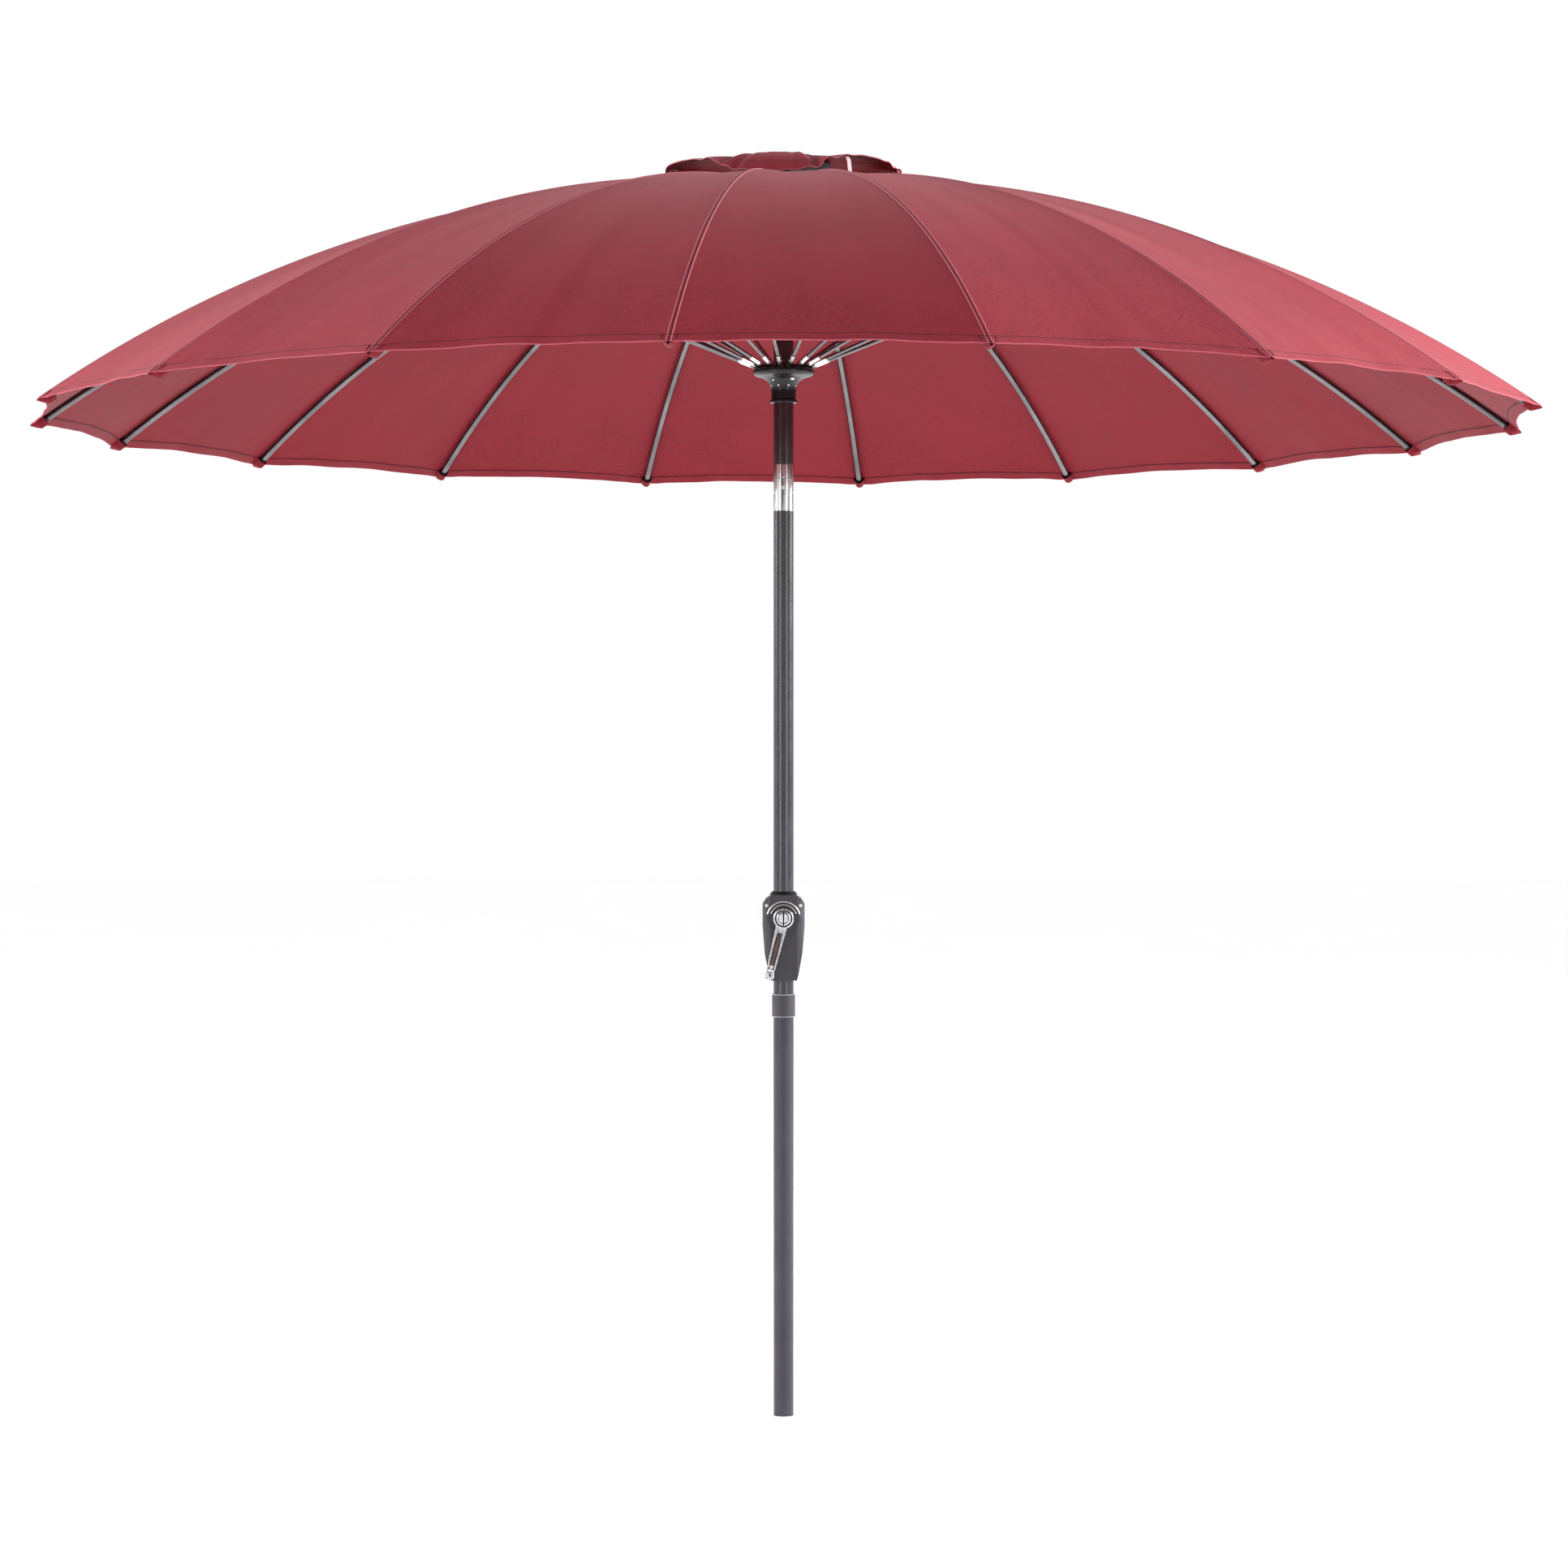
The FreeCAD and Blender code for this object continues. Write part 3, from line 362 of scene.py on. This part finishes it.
# ---- mesh helpers -------------------------------------------------------------------------
def new_object(name, vertices, faces, material, uvs=None, sharp_deg=35.0):
    mesh = bpy.data.meshes.new(name)
    mesh.from_pydata([tuple(v) for v in vertices], [], faces)
    tidy = bmesh.new()
    tidy.from_mesh(mesh)
    bmesh.ops.recalc_face_normals(tidy, faces=tidy.faces)
    tidy.to_mesh(mesh)
    tidy.free()
    if uvs is not None:
        layer = mesh.uv_layers.new(name="cloth")
        loops = np.zeros(len(mesh.loops), np.int32)
        mesh.loops.foreach_get("vertex_index", loops)
        layer.data.foreach_set("uv", np.asarray(uvs, np.float32)[loops].ravel())
    mesh.polygons.foreach_set("use_smooth", np.ones(len(mesh.polygons), bool))
    mesh.set_sharp_from_angle(angle=math.radians(sharp_deg))
    mesh.materials.append(material)
    obj = bpy.data.objects.new(name, mesh)
    scene.collection.objects.link(obj)
    return obj


def shell(name, outer, inner, uv, material, sharp_deg=35.0, shaded_underside=None):
    """A closed cloth from two grids of points, one a thickness under the other."""
    m, n = len(outer), len(outer[0])
    vertices = [p for row in outer for p in row] + [p for row in inner for p in row]
    uvs = [p for row in uv for p in row] * 2
    o, i = (lambda a, b: a * n + b), (lambda a, b: m * n + a * n + b)
    faces = []
    for a in range(m - 1):
        for b in range(n - 1):
            faces.append((o(a, b), o(a + 1, b), o(a + 1, b + 1), o(a, b + 1)))
            faces.append((i(a, b), i(a, b + 1), i(a + 1, b + 1), i(a + 1, b)))
    for a in range(m - 1):
        faces.append((o(a, 0), i(a, 0), i(a + 1, 0), o(a + 1, 0)))
        faces.append((o(a, n - 1), o(a + 1, n - 1), i(a + 1, n - 1), i(a, n - 1)))
    for b in range(n - 1):
        faces.append((o(0, b), o(0, b + 1), i(0, b + 1), i(0, b)))
        faces.append((o(m - 1, b), i(m - 1, b), i(m - 1, b + 1), o(m - 1, b + 1)))
    obj = new_object(name, vertices, faces, material, uvs, sharp_deg)
    # the under grid's faces take the second material, the underside's painted shade
    if shaded_underside:
        obj.data.materials.append(shaded_underside)
        which = np.zeros(len(faces), np.int32)
        which[1:2 * (m - 1) * (n - 1):2] = 1
        obj.data.polygons.foreach_set("material_index", which)
    return obj


def lathe(profile, segments=96):
    """Vertices and faces of a closed outline of (radius, height) turned about a vertical axis."""
    n = len(profile)
    vertices, faces = [], []
    for k in range(segments):
        a = 2 * math.pi * k / segments
        vertices += [(r * math.cos(a), r * math.sin(a), z) for r, z in profile]
    for k in range(segments):
        b = (k + 1) % segments
        for j in range(n):
            jj = (j + 1) % n
            faces.append((k * n + j, k * n + jj, b * n + jj, b * n + j))
    return vertices, faces


def joined(*parts):
    vertices, faces = [], []
    for v, f in parts:
        base = len(vertices)
        vertices += list(v)
        faces += [tuple(i + base for i in face) for face in f]
    return vertices, faces


def rounded(points, steps=4):
    """A Catmull-Rom curve through open points, so that a turned outline has no facets."""
    out = []
    for i in range(len(points) - 1):
        p0, p1, p2 = points[max(i - 1, 0)], points[i], points[i + 1]
        p3 = points[min(i + 2, len(points) - 1)]
        for s in range(steps):
            t = s / steps
            out.append(tuple(
                0.5 * (2 * b + (c - a) * t + (2 * a - 5 * b + 4 * c - d) * t * t
                       + (3 * b - a - 3 * c + d) * t ** 3)
                for a, b, c, d in zip(p0, p1, p2, p3)))
    return out + [tuple(points[-1])]


# ---- canopy: eighteen sheets, each from mid-gore to mid-gore over its rib -------------------
FIRST_ANGLE = math.asin(VENT_R / DOME_R)
LAST_ANGLE = math.asin(RIM_R / DOME_R)
HEM_ROWS = [0.0, 0.0009, 0.006, 0.013, 0.0195, 0.0222, 0.0236, 0.027, 0.034, 0.045, 0.060, 0.080]
SEAM_COLUMNS = [0.0, 0.0011, 0.0033, 0.0041, 0.0062, 0.0105]
BODY_ROWS = 46
BODY_COLUMNS = 13
SEAM_HALF, SEAM_LIFT = 0.0033, 0.0007  # the folded seam over the rib
HEM_BAND, HEM_THICK = 0.0222, 0.0009  # the hem's second layer
VENT_BAND, VENT_THICK = 0.010, 0.0007  # the vent edge's second layer
# heights of the cloth's unevenness
FLOW, RIPPLE, PUCKER, FAN, EDGE_WAVE = 0.0024, 0.0011, 0.00022, 0.0012, 0.0009


def gore_relief(gore, t, r, hem):
    """How far the cloth of a gore lies under the flat between two ribs. t runs -1 to 1 across."""
    open_span = 1 - t * t
    half = r * math.sin(PITCH / 2)
    from_rib = half * (1 - abs(t))
    sag = (0.0030 + 0.0035 * smooth(r / 1.2)) * open_span
    flow = noise.noise(Vector((gore * 7.31, t * 1.7, r * 1.3)))
    ripple = noise.noise(Vector((gore * 3.7 + 11.0, t * half * 26.0, r * 1.6 + 5.0)))
    uneven = noise.noise(Vector((gore * 1.9, r * 9.0, t)))
    puckers = math.sin(r * 260.0 + 2.0 * uneven) * math.exp(-from_rib / 0.014)
    corner = math.exp(-hem / 0.16) * math.exp(-from_rib / 0.085)
    fan = math.sin(11.0 * math.atan2(from_rib + 0.002, hem + 0.02) + gore)
    edge = math.exp(-hem / 0.05) * math.sin(t * 9.0 + gore * 2.1) * open_span
    return (sag + FLOW * flow * open_span + RIPPLE * ripple * open_span ** 0.5
            + PUCKER * puckers * min(1.0, 40 * open_span)
            + FAN * corner * fan * min(1.0, 6 * open_span) + EDGE_WAVE * edge)


def canopy_point(k, side, y_share, hem, depth):
    """A point of the cloth over rib k, on the side -1 or 1. y_share is 0 at the rib and 1 at
    mid-gore, hem is metres in from the scalloped edge along the arc, depth is metres under it."""
    scallop = SCALLOP * (1 - (1 - y_share) ** 2)
    angle = LAST_ANGLE - (scallop + hem) / DOME_R
    r = DOME_R * math.sin(angle)
    a, b = azimuth(k), azimuth(k + side)
    ax, ay, bx, by = math.cos(a), math.sin(a), math.cos(b), math.sin(b)
    half = y_share / 2
    x, y = r * (ax + (bx - ax) * half), r * (ay + (by - ay) * half)
    z = DOME_Z + DOME_R * math.cos(angle)
    gore = (k if side > 0 else k - 1) % RIBS
    t = (y_share - 1) if side > 0 else (1 - y_share)
    down = depth + gore_relief(gore, t, r, hem)
    mid = (a + b) / 2
    flat_slope = math.atan(math.tan(angle) / math.cos(PITCH / 2))
    lean = smooth(y_share * r * math.sin(PITCH / 2) / 0.006)
    face = a + (mid - a) * lean
    nx, nz = math.sin(flat_slope), math.cos(flat_slope)
    return (x - down * nx * math.cos(face), y - down * nx * math.sin(face), z - down * nz)


def canopy_piece(k):
    arc = (LAST_ANGLE - FIRST_ANGLE) * DOME_R
    columns = range(len(SEAM_COLUMNS) + BODY_COLUMNS)
    outer, inner, uv = [], [], []
    for row in range(len(HEM_ROWS) + BODY_ROWS):
        # this half-width only decides how the fixed seam columns turn into shares
        inwards = max(0.0, (row - len(HEM_ROWS)) / (BODY_ROWS - 1))
        half = (VENT_R + (RIM_R - VENT_R) * (1 - inwards)) * math.sin(PITCH / 2)
        line_o, line_i, line_uv = [], [], []
        for side in (-1, 1):
            for c in (reversed(columns) if side < 0 else columns[1:]):
                if c < len(SEAM_COLUMNS):
                    share = SEAM_COLUMNS[c] / half
                else:
                    f = (c - len(SEAM_COLUMNS) + 1) / BODY_COLUMNS
                    share = (SEAM_COLUMNS[-1] + (half - SEAM_COLUMNS[-1]) * f) / half
                limit = arc - SCALLOP * (1 - (1 - share) ** 2)
                if row < len(HEM_ROWS):
                    hem = HEM_ROWS[row]
                else:
                    f = (row - len(HEM_ROWS) + 1) / BODY_ROWS
                    hem = HEM_ROWS[-1] + (limit - HEM_ROWS[-1]) * f
                across = share * half
                seam = SEAM_LIFT * (1 - smooth((across - SEAM_HALF) / 0.0008))
                band = HEM_THICK * (1 - smooth((hem - HEM_BAND) / 0.0014))
                band *= smooth((across - 0.007) / 0.008)
                vent_band = VENT_THICK * (1 - smooth((limit - hem - VENT_BAND) / 0.004))
                vent_band *= smooth((across - 0.004) / 0.006)
                under_face = CLOTH_TOP + CLOTH_T + band + vent_band
                line_o.append(canopy_point(k, side, share, hem, CLOTH_TOP - seam))
                line_i.append(canopy_point(k, side, share, hem, under_face))
                line_uv.append((side * across, hem))
        outer.append(line_o)
        inner.append(line_i)
        uv.append(line_uv)
    # the under faces take the darker underside cloth: painted shade
    return shell(f"canopy_{k + 1:02d}", outer, inner, uv, cloth, 30.0, under)


def tip_pocket(k):
    """The pocket sewn under each corner, which the rib's cap sits in, with two small pleats."""
    a = azimuth(k)
    out, side = Vector((math.cos(a), math.sin(a), 0)), Vector((-math.sin(a), math.cos(a), 0))
    rows, columns, length = 14, 17, 0.030
    outer, inner, uv = [], [], []
    for i in range(rows):
        s = i / (rows - 1)
        back = -0.0040 + length * s
        swell = min(1.0, s * 2.1) * (1.15 - 0.15 * min(1.0, s * 2.1))
        angle = LAST_ANGLE - back / DOME_R
        normal = out * math.sin(angle) + Vector((0, 0, 1)) * math.cos(angle)
        base = out * (DOME_R * math.sin(angle)) + Vector((0, 0, DOME_Z + DOME_R * math.cos(angle)))
        lo, li, lu = [], [], []
        for j in range(columns):
            u = -1 + 2 * j / (columns - 1)
            width = 0.0015 + 0.0085 * swell + 0.0025 * s
            depth = 0.0011 + (0.0012 + 0.0148 * swell) * (1 - abs(u) ** 2.4) ** 0.75
            pleat = 0.0006 * math.sin(u * 15 + k) * swell * (1 - u * u)
            droop = 0.0012 * s * (1 - u * u)
            p = base + side * (width * u) - normal * (depth + pleat + droop)
            lo.append(tuple(p - normal * 0.0007 * (1 - u * u) + side * (0.0004 * u)))
            li.append(tuple(p))
            lu.append((0.03 + width * u, 0.10 + back))
        outer.append(lo)
        inner.append(li)
        uv.append(lu)
    # the whole pocket is in the underside's darker cloth: painted shade
    return shell(f"tip_pocket_{k + 1:02d}", outer, inner, uv, under, 50.0)


for k in range(RIBS):
    rib = f"rib_{k + 1:02d}"
    pocket = tip_pocket(k)
    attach(pocket, rib)
    piece = canopy_piece(k)
    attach(piece, rib)
    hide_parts("canopy")
    a = azimuth(k)
    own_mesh(piece)


# ---- vent cap: eighteen sectors of one soft cap, tied down at every third rib ---------------
# one entry for each lobe between two ties; lobe 3 is the one towards -Y
LOBE_DROOP = (0.018, 0.012, 0.010, 0.041, 0.010, 0.013)
LOBE_FULL = (0.45, 0.25, 0.20, 1.0, 0.10, 0.2)
LOBE_BELLY = (0.55, 0.55, 0.55, 0.26, 0.55, 0.55)
PLATE_R = 0.088  # the cap is flat as far out as this
CAP_BORE = 0.0065


def cap_height(r, a):
    """Height of the cap's upper face. The lobe towards -Y droops most, the others less."""
    around = math.degrees(a) % 360
    lobe = max((i for i in range(6) if CAP_TIES[i] <= around), default=5)
    low, high = CAP_TIES[lobe], CAP_TIES[(lobe + 1) % 6]
    width = (high - low) % 360
    t = ((around - low) % 360) / width
    belly = math.sin(math.pi * t) ** LOBE_BELLY[lobe]
    full = LOBE_FULL[lobe]
    s = min(max((r - PLATE_R) / (CAP_R - PLATE_R), 0.0), 1.0)
    sunk = 0.0145 * (1 - (1 - s) ** 2.2) + 0.016 * s ** 2 * (1 - belly)
    held = (LOBE_DROOP[lobe] + 0.0095) * s ** 2.6
    drop = sunk * (1 - full * belly) + held * full * belly
    near_tie = math.exp(-((min(t, 1 - t) * width) / 13.0) ** 2)
    pleats = 0.0034 * near_tie * math.sin(a * 36.0 + 0.8) * smooth(s * 1.6)
    uneven = noise.noise(Vector((math.cos(a) * 3.1, math.sin(a) * 3.1, r * 14.0)))
    return CAP_TOP_Z - drop + pleats + 0.0014 * uneven * smooth(s * 2)


def cap_piece(k):
    a0 = azimuth(k) - PITCH / 2
    rows, columns = 30, 15
    outer, inner, uv = [], [], []
    for i in range(rows):
        s = i / (rows - 1)
        r = CAP_BORE + (CAP_R - CAP_BORE) * s
        lo, li, lu = [], [], []
        for j in range(columns):
            a = a0 + PITCH * j / (columns - 1)
            z = cap_height(r, a)
            hem = CAP_R - r
            thick = 0.0009 + 0.0009 * (1 - smooth((hem - 0.010) / 0.003))
            lo.append((r * math.cos(a), r * math.sin(a), z))
            li.append((r * math.cos(a), r * math.sin(a), z - thick))
            lu.append((0.02 + r * (a - a0), hem if hem > 0.0015 else 0.001))
        outer.append(lo)
        inner.append(li)
        uv.append(lu)
    # the cap's underside takes the darker underside cloth: painted shade
    return shell(f"vent_cap_{k + 1:02d}", outer, inner, uv, cap_cloth, 40.0, under)


STRAP_TOP_R, STRAP_FOOT_R = 0.214, 0.226
STRAP_ACROSS = (-0.004, -0.002, 0.0, 0.002, 0.004)
STRAP_HALF_T = 0.0005


def cap_strap(k):
    """A short strap from the cap's edge down to the canopy."""
    a = azimuth(k)
    out, side = Vector((math.cos(a), math.sin(a), 0)), Vector((-math.sin(a), math.cos(a), 0))
    top = Vector((0, 0, cap_height(STRAP_TOP_R, a) - 0.0022)) + out * STRAP_TOP_R
    foot_z = DOME_Z + math.sqrt(DOME_R ** 2 - STRAP_FOOT_R ** 2) + 0.0008
    foot = out * STRAP_FOOT_R + Vector((0, 0, foot_z))
    line = [top - out * 0.016, top - out * 0.004, top * 0.75 + foot * 0.25 + out * 0.002,
            top * 0.3 + foot * 0.7, foot + Vector((0, 0, 0.0012)) - out * 0.001,
            foot + out * 0.010 - Vector((0, 0, 0.0008))]
    points = [Vector(p) for p in rounded([tuple(p) for p in line], 5)]
    outer, inner, uv = [], [], []
    for i, p in enumerate(points):
        ahead = (points[min(i + 1, len(points) - 1)] - points[max(i - 1, 0)]).normalized()
        face = ahead.cross(side).normalized()
        outer.append([tuple(p + side * w + face * STRAP_HALF_T) for w in STRAP_ACROSS])
        inner.append([tuple(p + side * w - face * STRAP_HALF_T) for w in STRAP_ACROSS])
        uv.append([(0.02 + w, 0.1 + i * 0.003) for w in STRAP_ACROSS])
    return shell(f"cap_strap_{k + 1:02d}", outer, inner, uv, strap_cloth, 50.0)


for k in range(RIBS):
    rib = f"rib_{k + 1:02d}"
    a = azimuth(k)
    piece = cap_piece(k)
    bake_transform(piece)
    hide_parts("vent_cap")
    if k % 6 == 3:
        strap = cap_strap(k)
        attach(strap, rib)


# ---- runner: the turned, smooth-rimmed collar ----------------------------------------------
# radius and height, in millimetres
RUNNER_OUTLINE = [
    (19.7, 1902.3), (19.7, 1961.6), (20.4, 1962.4), (27.0, 1962.2), (38.0, 1960.6),
    (47.0, 1960.9), (51.2, 1962.4), (53.0, 1964.6), (54.8, 1965.7), (56.5, 1964.9),
    (57.4, 1962.4), (57.5, 1959.2), (56.4, 1955.6), (53.4, 1952.9), (48.6, 1951.2),
    (42.0, 1949.4), (36.0, 1946.8), (31.0, 1943.2), (27.6, 1938.8), (25.2, 1934.0),
    (23.8, 1929.0), (23.3, 1924.0), (23.3, 1916.0), (23.3, 1909.4), (23.8, 1908.2),
    (25.2, 1907.6), (25.7, 1906.4), (25.7, 1903.4), (25.1, 1902.2), (22.0, 1902.0),
    (19.9, 1902.0),
]
LUG_FOOT = 1960.2
# radius, half-width and top of each cross-section of a lug, in millimetres
LUG_SECTIONS = ((40.5, 2.6, 1963.0), (41.8, 3.3, 1968.8), (44.0, 3.9, 1970.8),
                (47.0, 4.3, 1971.2), (50.0, 4.5, 1970.2), (52.2, 4.0, 1967.4),
                (53.0, 3.2, 1963.5))
# a cross-section's outline, as shares of its half-width and height
LUG_OUTLINE = ((-1, 0), (-1, 0.75), (-0.8, 0.95), (-0.4, 1), (0.4, 1), (0.8, 0.95), (1, 0.75),
               (1, 0))


def runner_piece():
    outline = rounded([(r / 1000, z / 1000) for r, z in RUNNER_OUTLINE], 3)
    body = lathe(outline, 144)
    lugs = []
    for k in range(RIBS):
        a = azimuth(k) + PITCH / 2
        out, side = Vector((math.cos(a), math.sin(a), 0)), Vector((-math.sin(a), math.cos(a), 0))
        grid = []
        for r, half, top in LUG_SECTIONS:
            ring = []
            for w, h in LUG_OUTLINE:
                p = out * (r / 1000) + side * (half * w / 1000)
                ring.append((p.x, p.y, (LUG_FOOT + (top - LUG_FOOT) * h) / 1000))
            grid.append(ring)
        n = len(grid[0])
        vertices = [p for ring in grid for p in ring]
        faces = [(i * n + j, i * n + j + 1, (i + 1) * n + j + 1, (i + 1) * n + j)
                 for i in range(len(grid) - 1) for j in range(n - 1)]
        faces += [(i * n + n - 1, i * n, (i + 1) * n, (i + 1) * n + n - 1)
                  for i in range(len(grid) - 1)]
        faces += [tuple(range(n)), tuple(range((len(grid) - 1) * n, len(grid) * n))[::-1]]
        lugs.append((vertices, faces))
    vertices, faces = joined(body, *lugs)
    return new_object("runner_collar", vertices, faces, black_plastic, None, 38.0)


def dome(at, normal, radius, height, steps=5, segments=16):
    """A low rounded stud standing on a surface."""
    normal = Vector(normal).normalized()
    u = normal.orthogonal().normalized()
    v = normal.cross(u)
    vertices, faces = [], []
    for i in range(steps + 1):
        f = i / steps
        r, h = radius * math.cos(f * math.pi / 2) ** 0.8, height * math.sin(f * math.pi / 2)
        if i == steps:
            vertices.append(tuple(Vector(at) + normal * height))
            break
        vertices += [tuple(Vector(at) + normal * h + (u * math.cos(t) + v * math.sin(t)) * r)
                     for t in (2 * math.pi * j / segments for j in range(segments))]
    for i in range(steps - 1):
        faces += [(i * segments + j, i * segments + (j + 1) % segments,
                   (i + 1) * segments + (j + 1) % segments, (i + 1) * segments + j)
                  for j in range(segments)]
    last = (steps - 1) * segments
    faces += [(last + j, last + (j + 1) % segments, steps * segments) for j in range(segments)]
    faces.append(tuple(range(segments))[::-1])
    return vertices, faces


runner = runner_piece()
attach(runner, "runner")
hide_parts("runner")

# degrees round, radius and height of the place, downward slope, then the stud's size
STUDS = [(247.0 + 45.0 * k, 0.0247, 1.9342, -0.25, 0.0023, 0.0014) for k in range(8)]
STUDS += [(-62.0, 0.0350, 1.9452, -1.1, 0.0040, 0.0026),
          (-128.0, 0.0318, 1.9433, -0.9, 0.0022, 0.0016)]
studs = []
for degrees, r, z, slope, radius, height in STUDS:
    a = math.radians(degrees)
    out = (math.cos(a), math.sin(a), slope)
    studs.append(dome((r * out[0], r * out[1], z), out, radius, height))
RING_WIRE_R = 0.0015
ring = [(RUNNER_PIVOT[0] + RING_WIRE_R * math.cos(t), RUNNER_PIVOT[1] + RING_WIRE_R * math.sin(t))
        for t in (2 * math.pi * j / 12 for j in range(12))]
vertices, faces = joined(*studs, lathe(ring, 120))
rivets = new_object("runner_studs", vertices, faces, zinc, None, 50.0)
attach(rivets, "runner")


# ---- small trim: hub rings, housing gasket, collar edges ------------------------------------
def turned_about_y(profile, at, segments, first, last):
    """Vertices and faces of a closed outline of (radius, depth) turned about a horizontal axis,
    from one angle to another, with both ends capped."""
    n = len(profile)
    vertices, faces = [], []
    for k in range(segments + 1):
        a = first + (last - first) * k / segments
        vertices += [(at[0] + r * math.cos(a), at[1] + y, at[2] + r * math.sin(a))
                     for r, y in profile]
    for k in range(segments):
        b = k + 1
        for j in range(n):
            jj = (j + 1) % n
            faces.append((k * n + j, k * n + jj, b * n + jj, b * n + j))
    faces += [tuple(range(n)), tuple(range(segments * n, segments * n + n))[::-1]]
    return vertices, faces


def bead(radius, depth, half_width, height, steps=8):
    """The outline of a half-round bead that stands on a face looking towards -Y."""
    return [(radius + half_width * math.cos(t), depth - height * math.sin(t))
            for t in (math.pi * i / steps for i in range(steps + 1))]


BEAD_DEPTH = -0.036 + 0.0002  # just inside the housing's face
HUB_AXIS = (0.0, 0.0, CRANK_Z)
rings = joined(
    turned_about_y(bead(0.0306, BEAD_DEPTH, 0.0014, 0.0011), HUB_AXIS, 48,
                   math.radians(14), math.radians(166)),
    turned_about_y(bead(0.0248, BEAD_DEPTH, 0.0011, 0.0009), HUB_AXIS, 48,
                   math.radians(20), math.radians(160)))
trim = new_object("housing_hub_rings", *rings, zinc, None, 40.0)
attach(trim, "base_pole")

gasket = [(0.01905, 0.9792), (0.0262, 0.9792), (0.0266, 0.9800), (0.0262, 0.9809),
          (0.0236, 0.9816), (0.0228, 0.9828), (0.0232, 0.9838), (0.0226, 0.9848),
          (0.0205, 0.9851), (0.01905, 0.9849)]
trim = new_object("housing_gasket", *lathe(gasket, 96), matt_black, None, 40.0)
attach(trim, "base_pole")

# thin rounded rims at the collar's top and bottom, in that lighter grey: painted highlight
edges = []
for low, high in ((0.7491, 0.7506), (0.7905, 0.7920)):
    edges.append(lathe([(0.0216, low), (0.02195, low + 0.0002), (0.0221, (low + high) / 2),
                        (0.02195, high - 0.0002), (0.0216, high)], 96))
trim = new_object("collar_edges", *joined(*edges), collar_light, None, 40.0)
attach(trim, "base_pole")


# ---- floor, light and camera ---------------------------------------------------------------
FLOOR_GLOW = 0.64  # bright enough for the floor to render white
SKY_WHITE_TO, SKY_DIM_FROM, SKY_DIM = 0.32, 0.62, 0.20  # white at the horizon, dim overhead
bpy.ops.mesh.primitive_circle_add(vertices=96, radius=34.0, fill_type="NGON",
                                  location=(0, 0, -0.0005))
floor = bpy.context.object
floor.name = "pale_floor"
floor.data.materials.append(pale_floor)
glow = pale_floor.node_tree.nodes["Principled BSDF"].inputs
glow["Emission Color"].default_value = (1.0, 1.0, 1.0, 1.0)
glow["Emission Strength"].default_value = FLOOR_GLOW

world = bpy.data.worlds.new("studio")
world.use_nodes = True
sky = world.node_tree
heading = sky.nodes.new("ShaderNodeTexCoord")
height = sky.nodes.new("ShaderNodeSeparateXYZ")
fade = sky.nodes.new("ShaderNodeMapRange")
fade.interpolation_type = "SMOOTHSTEP"
for key, value in (("From Min", SKY_WHITE_TO), ("From Max", SKY_DIM_FROM), ("To Min", 1.0),
                   ("To Max", SKY_DIM)):
    fade.inputs[key].default_value = value
sky.links.new(heading.outputs["Generated"], height.inputs[0])
sky.links.new(height.outputs["Z"], fade.inputs["Value"])
sky.links.new(fade.outputs["Result"], sky.nodes["Background"].inputs["Strength"])
sky.nodes["Background"].inputs["Color"].default_value = (1.0, 1.0, 1.0, 1.0)
scene.world = world
scene.view_settings.view_transform = "Standard"


def softbox(name, at, target, size, power):
    light = bpy.data.lights.new(name, "AREA")
    light.shape = "RECTANGLE"
    light.size, light.size_y = size
    light.energy = power
    obj = bpy.data.objects.new(name, light)
    scene.collection.objects.link(obj)
    obj.location = at
    obj.rotation_euler = (Vector(target) - Vector(at)).to_track_quat("-Z", "Y").to_euler()


softbox("softbox_left", (-5.4, 0.4, 3.3), (-0.6, 0, 2.15), (2.4, 2.2), 400)
softbox("softbox_right", (5.4, 0.4, 3.3), (0.6, 0, 2.15), (2.4, 2.2), 680)
softbox("softbox_back", (0.6, 5.0, 5.6), (0, 0, 2.2), (8.0, 1.6), 25)
softbox("strip_left", (-4.2, -5.4, 1.6), (0, 0, 1.5), (0.7, 3.0), 60)
softbox("strip_right", (4.2, -5.4, 1.6), (0, 0, 1.5), (0.7, 3.0), 60)

camera_data = bpy.data.cameras.new("camera")
camera_data.lens = 84.04
camera_data.sensor_width = 36.0
camera = bpy.data.objects.new("camera", camera_data)
scene.collection.objects.link(camera)
camera.location = (0.0, -6.879, 1.2168)
CAMERA_PITCH, CAMERA_YAW = math.radians(90.0 - 0.2514), -0.00012
camera.rotation_euler = (CAMERA_PITCH, 0.0, CAMERA_YAW)
scene.camera = camera
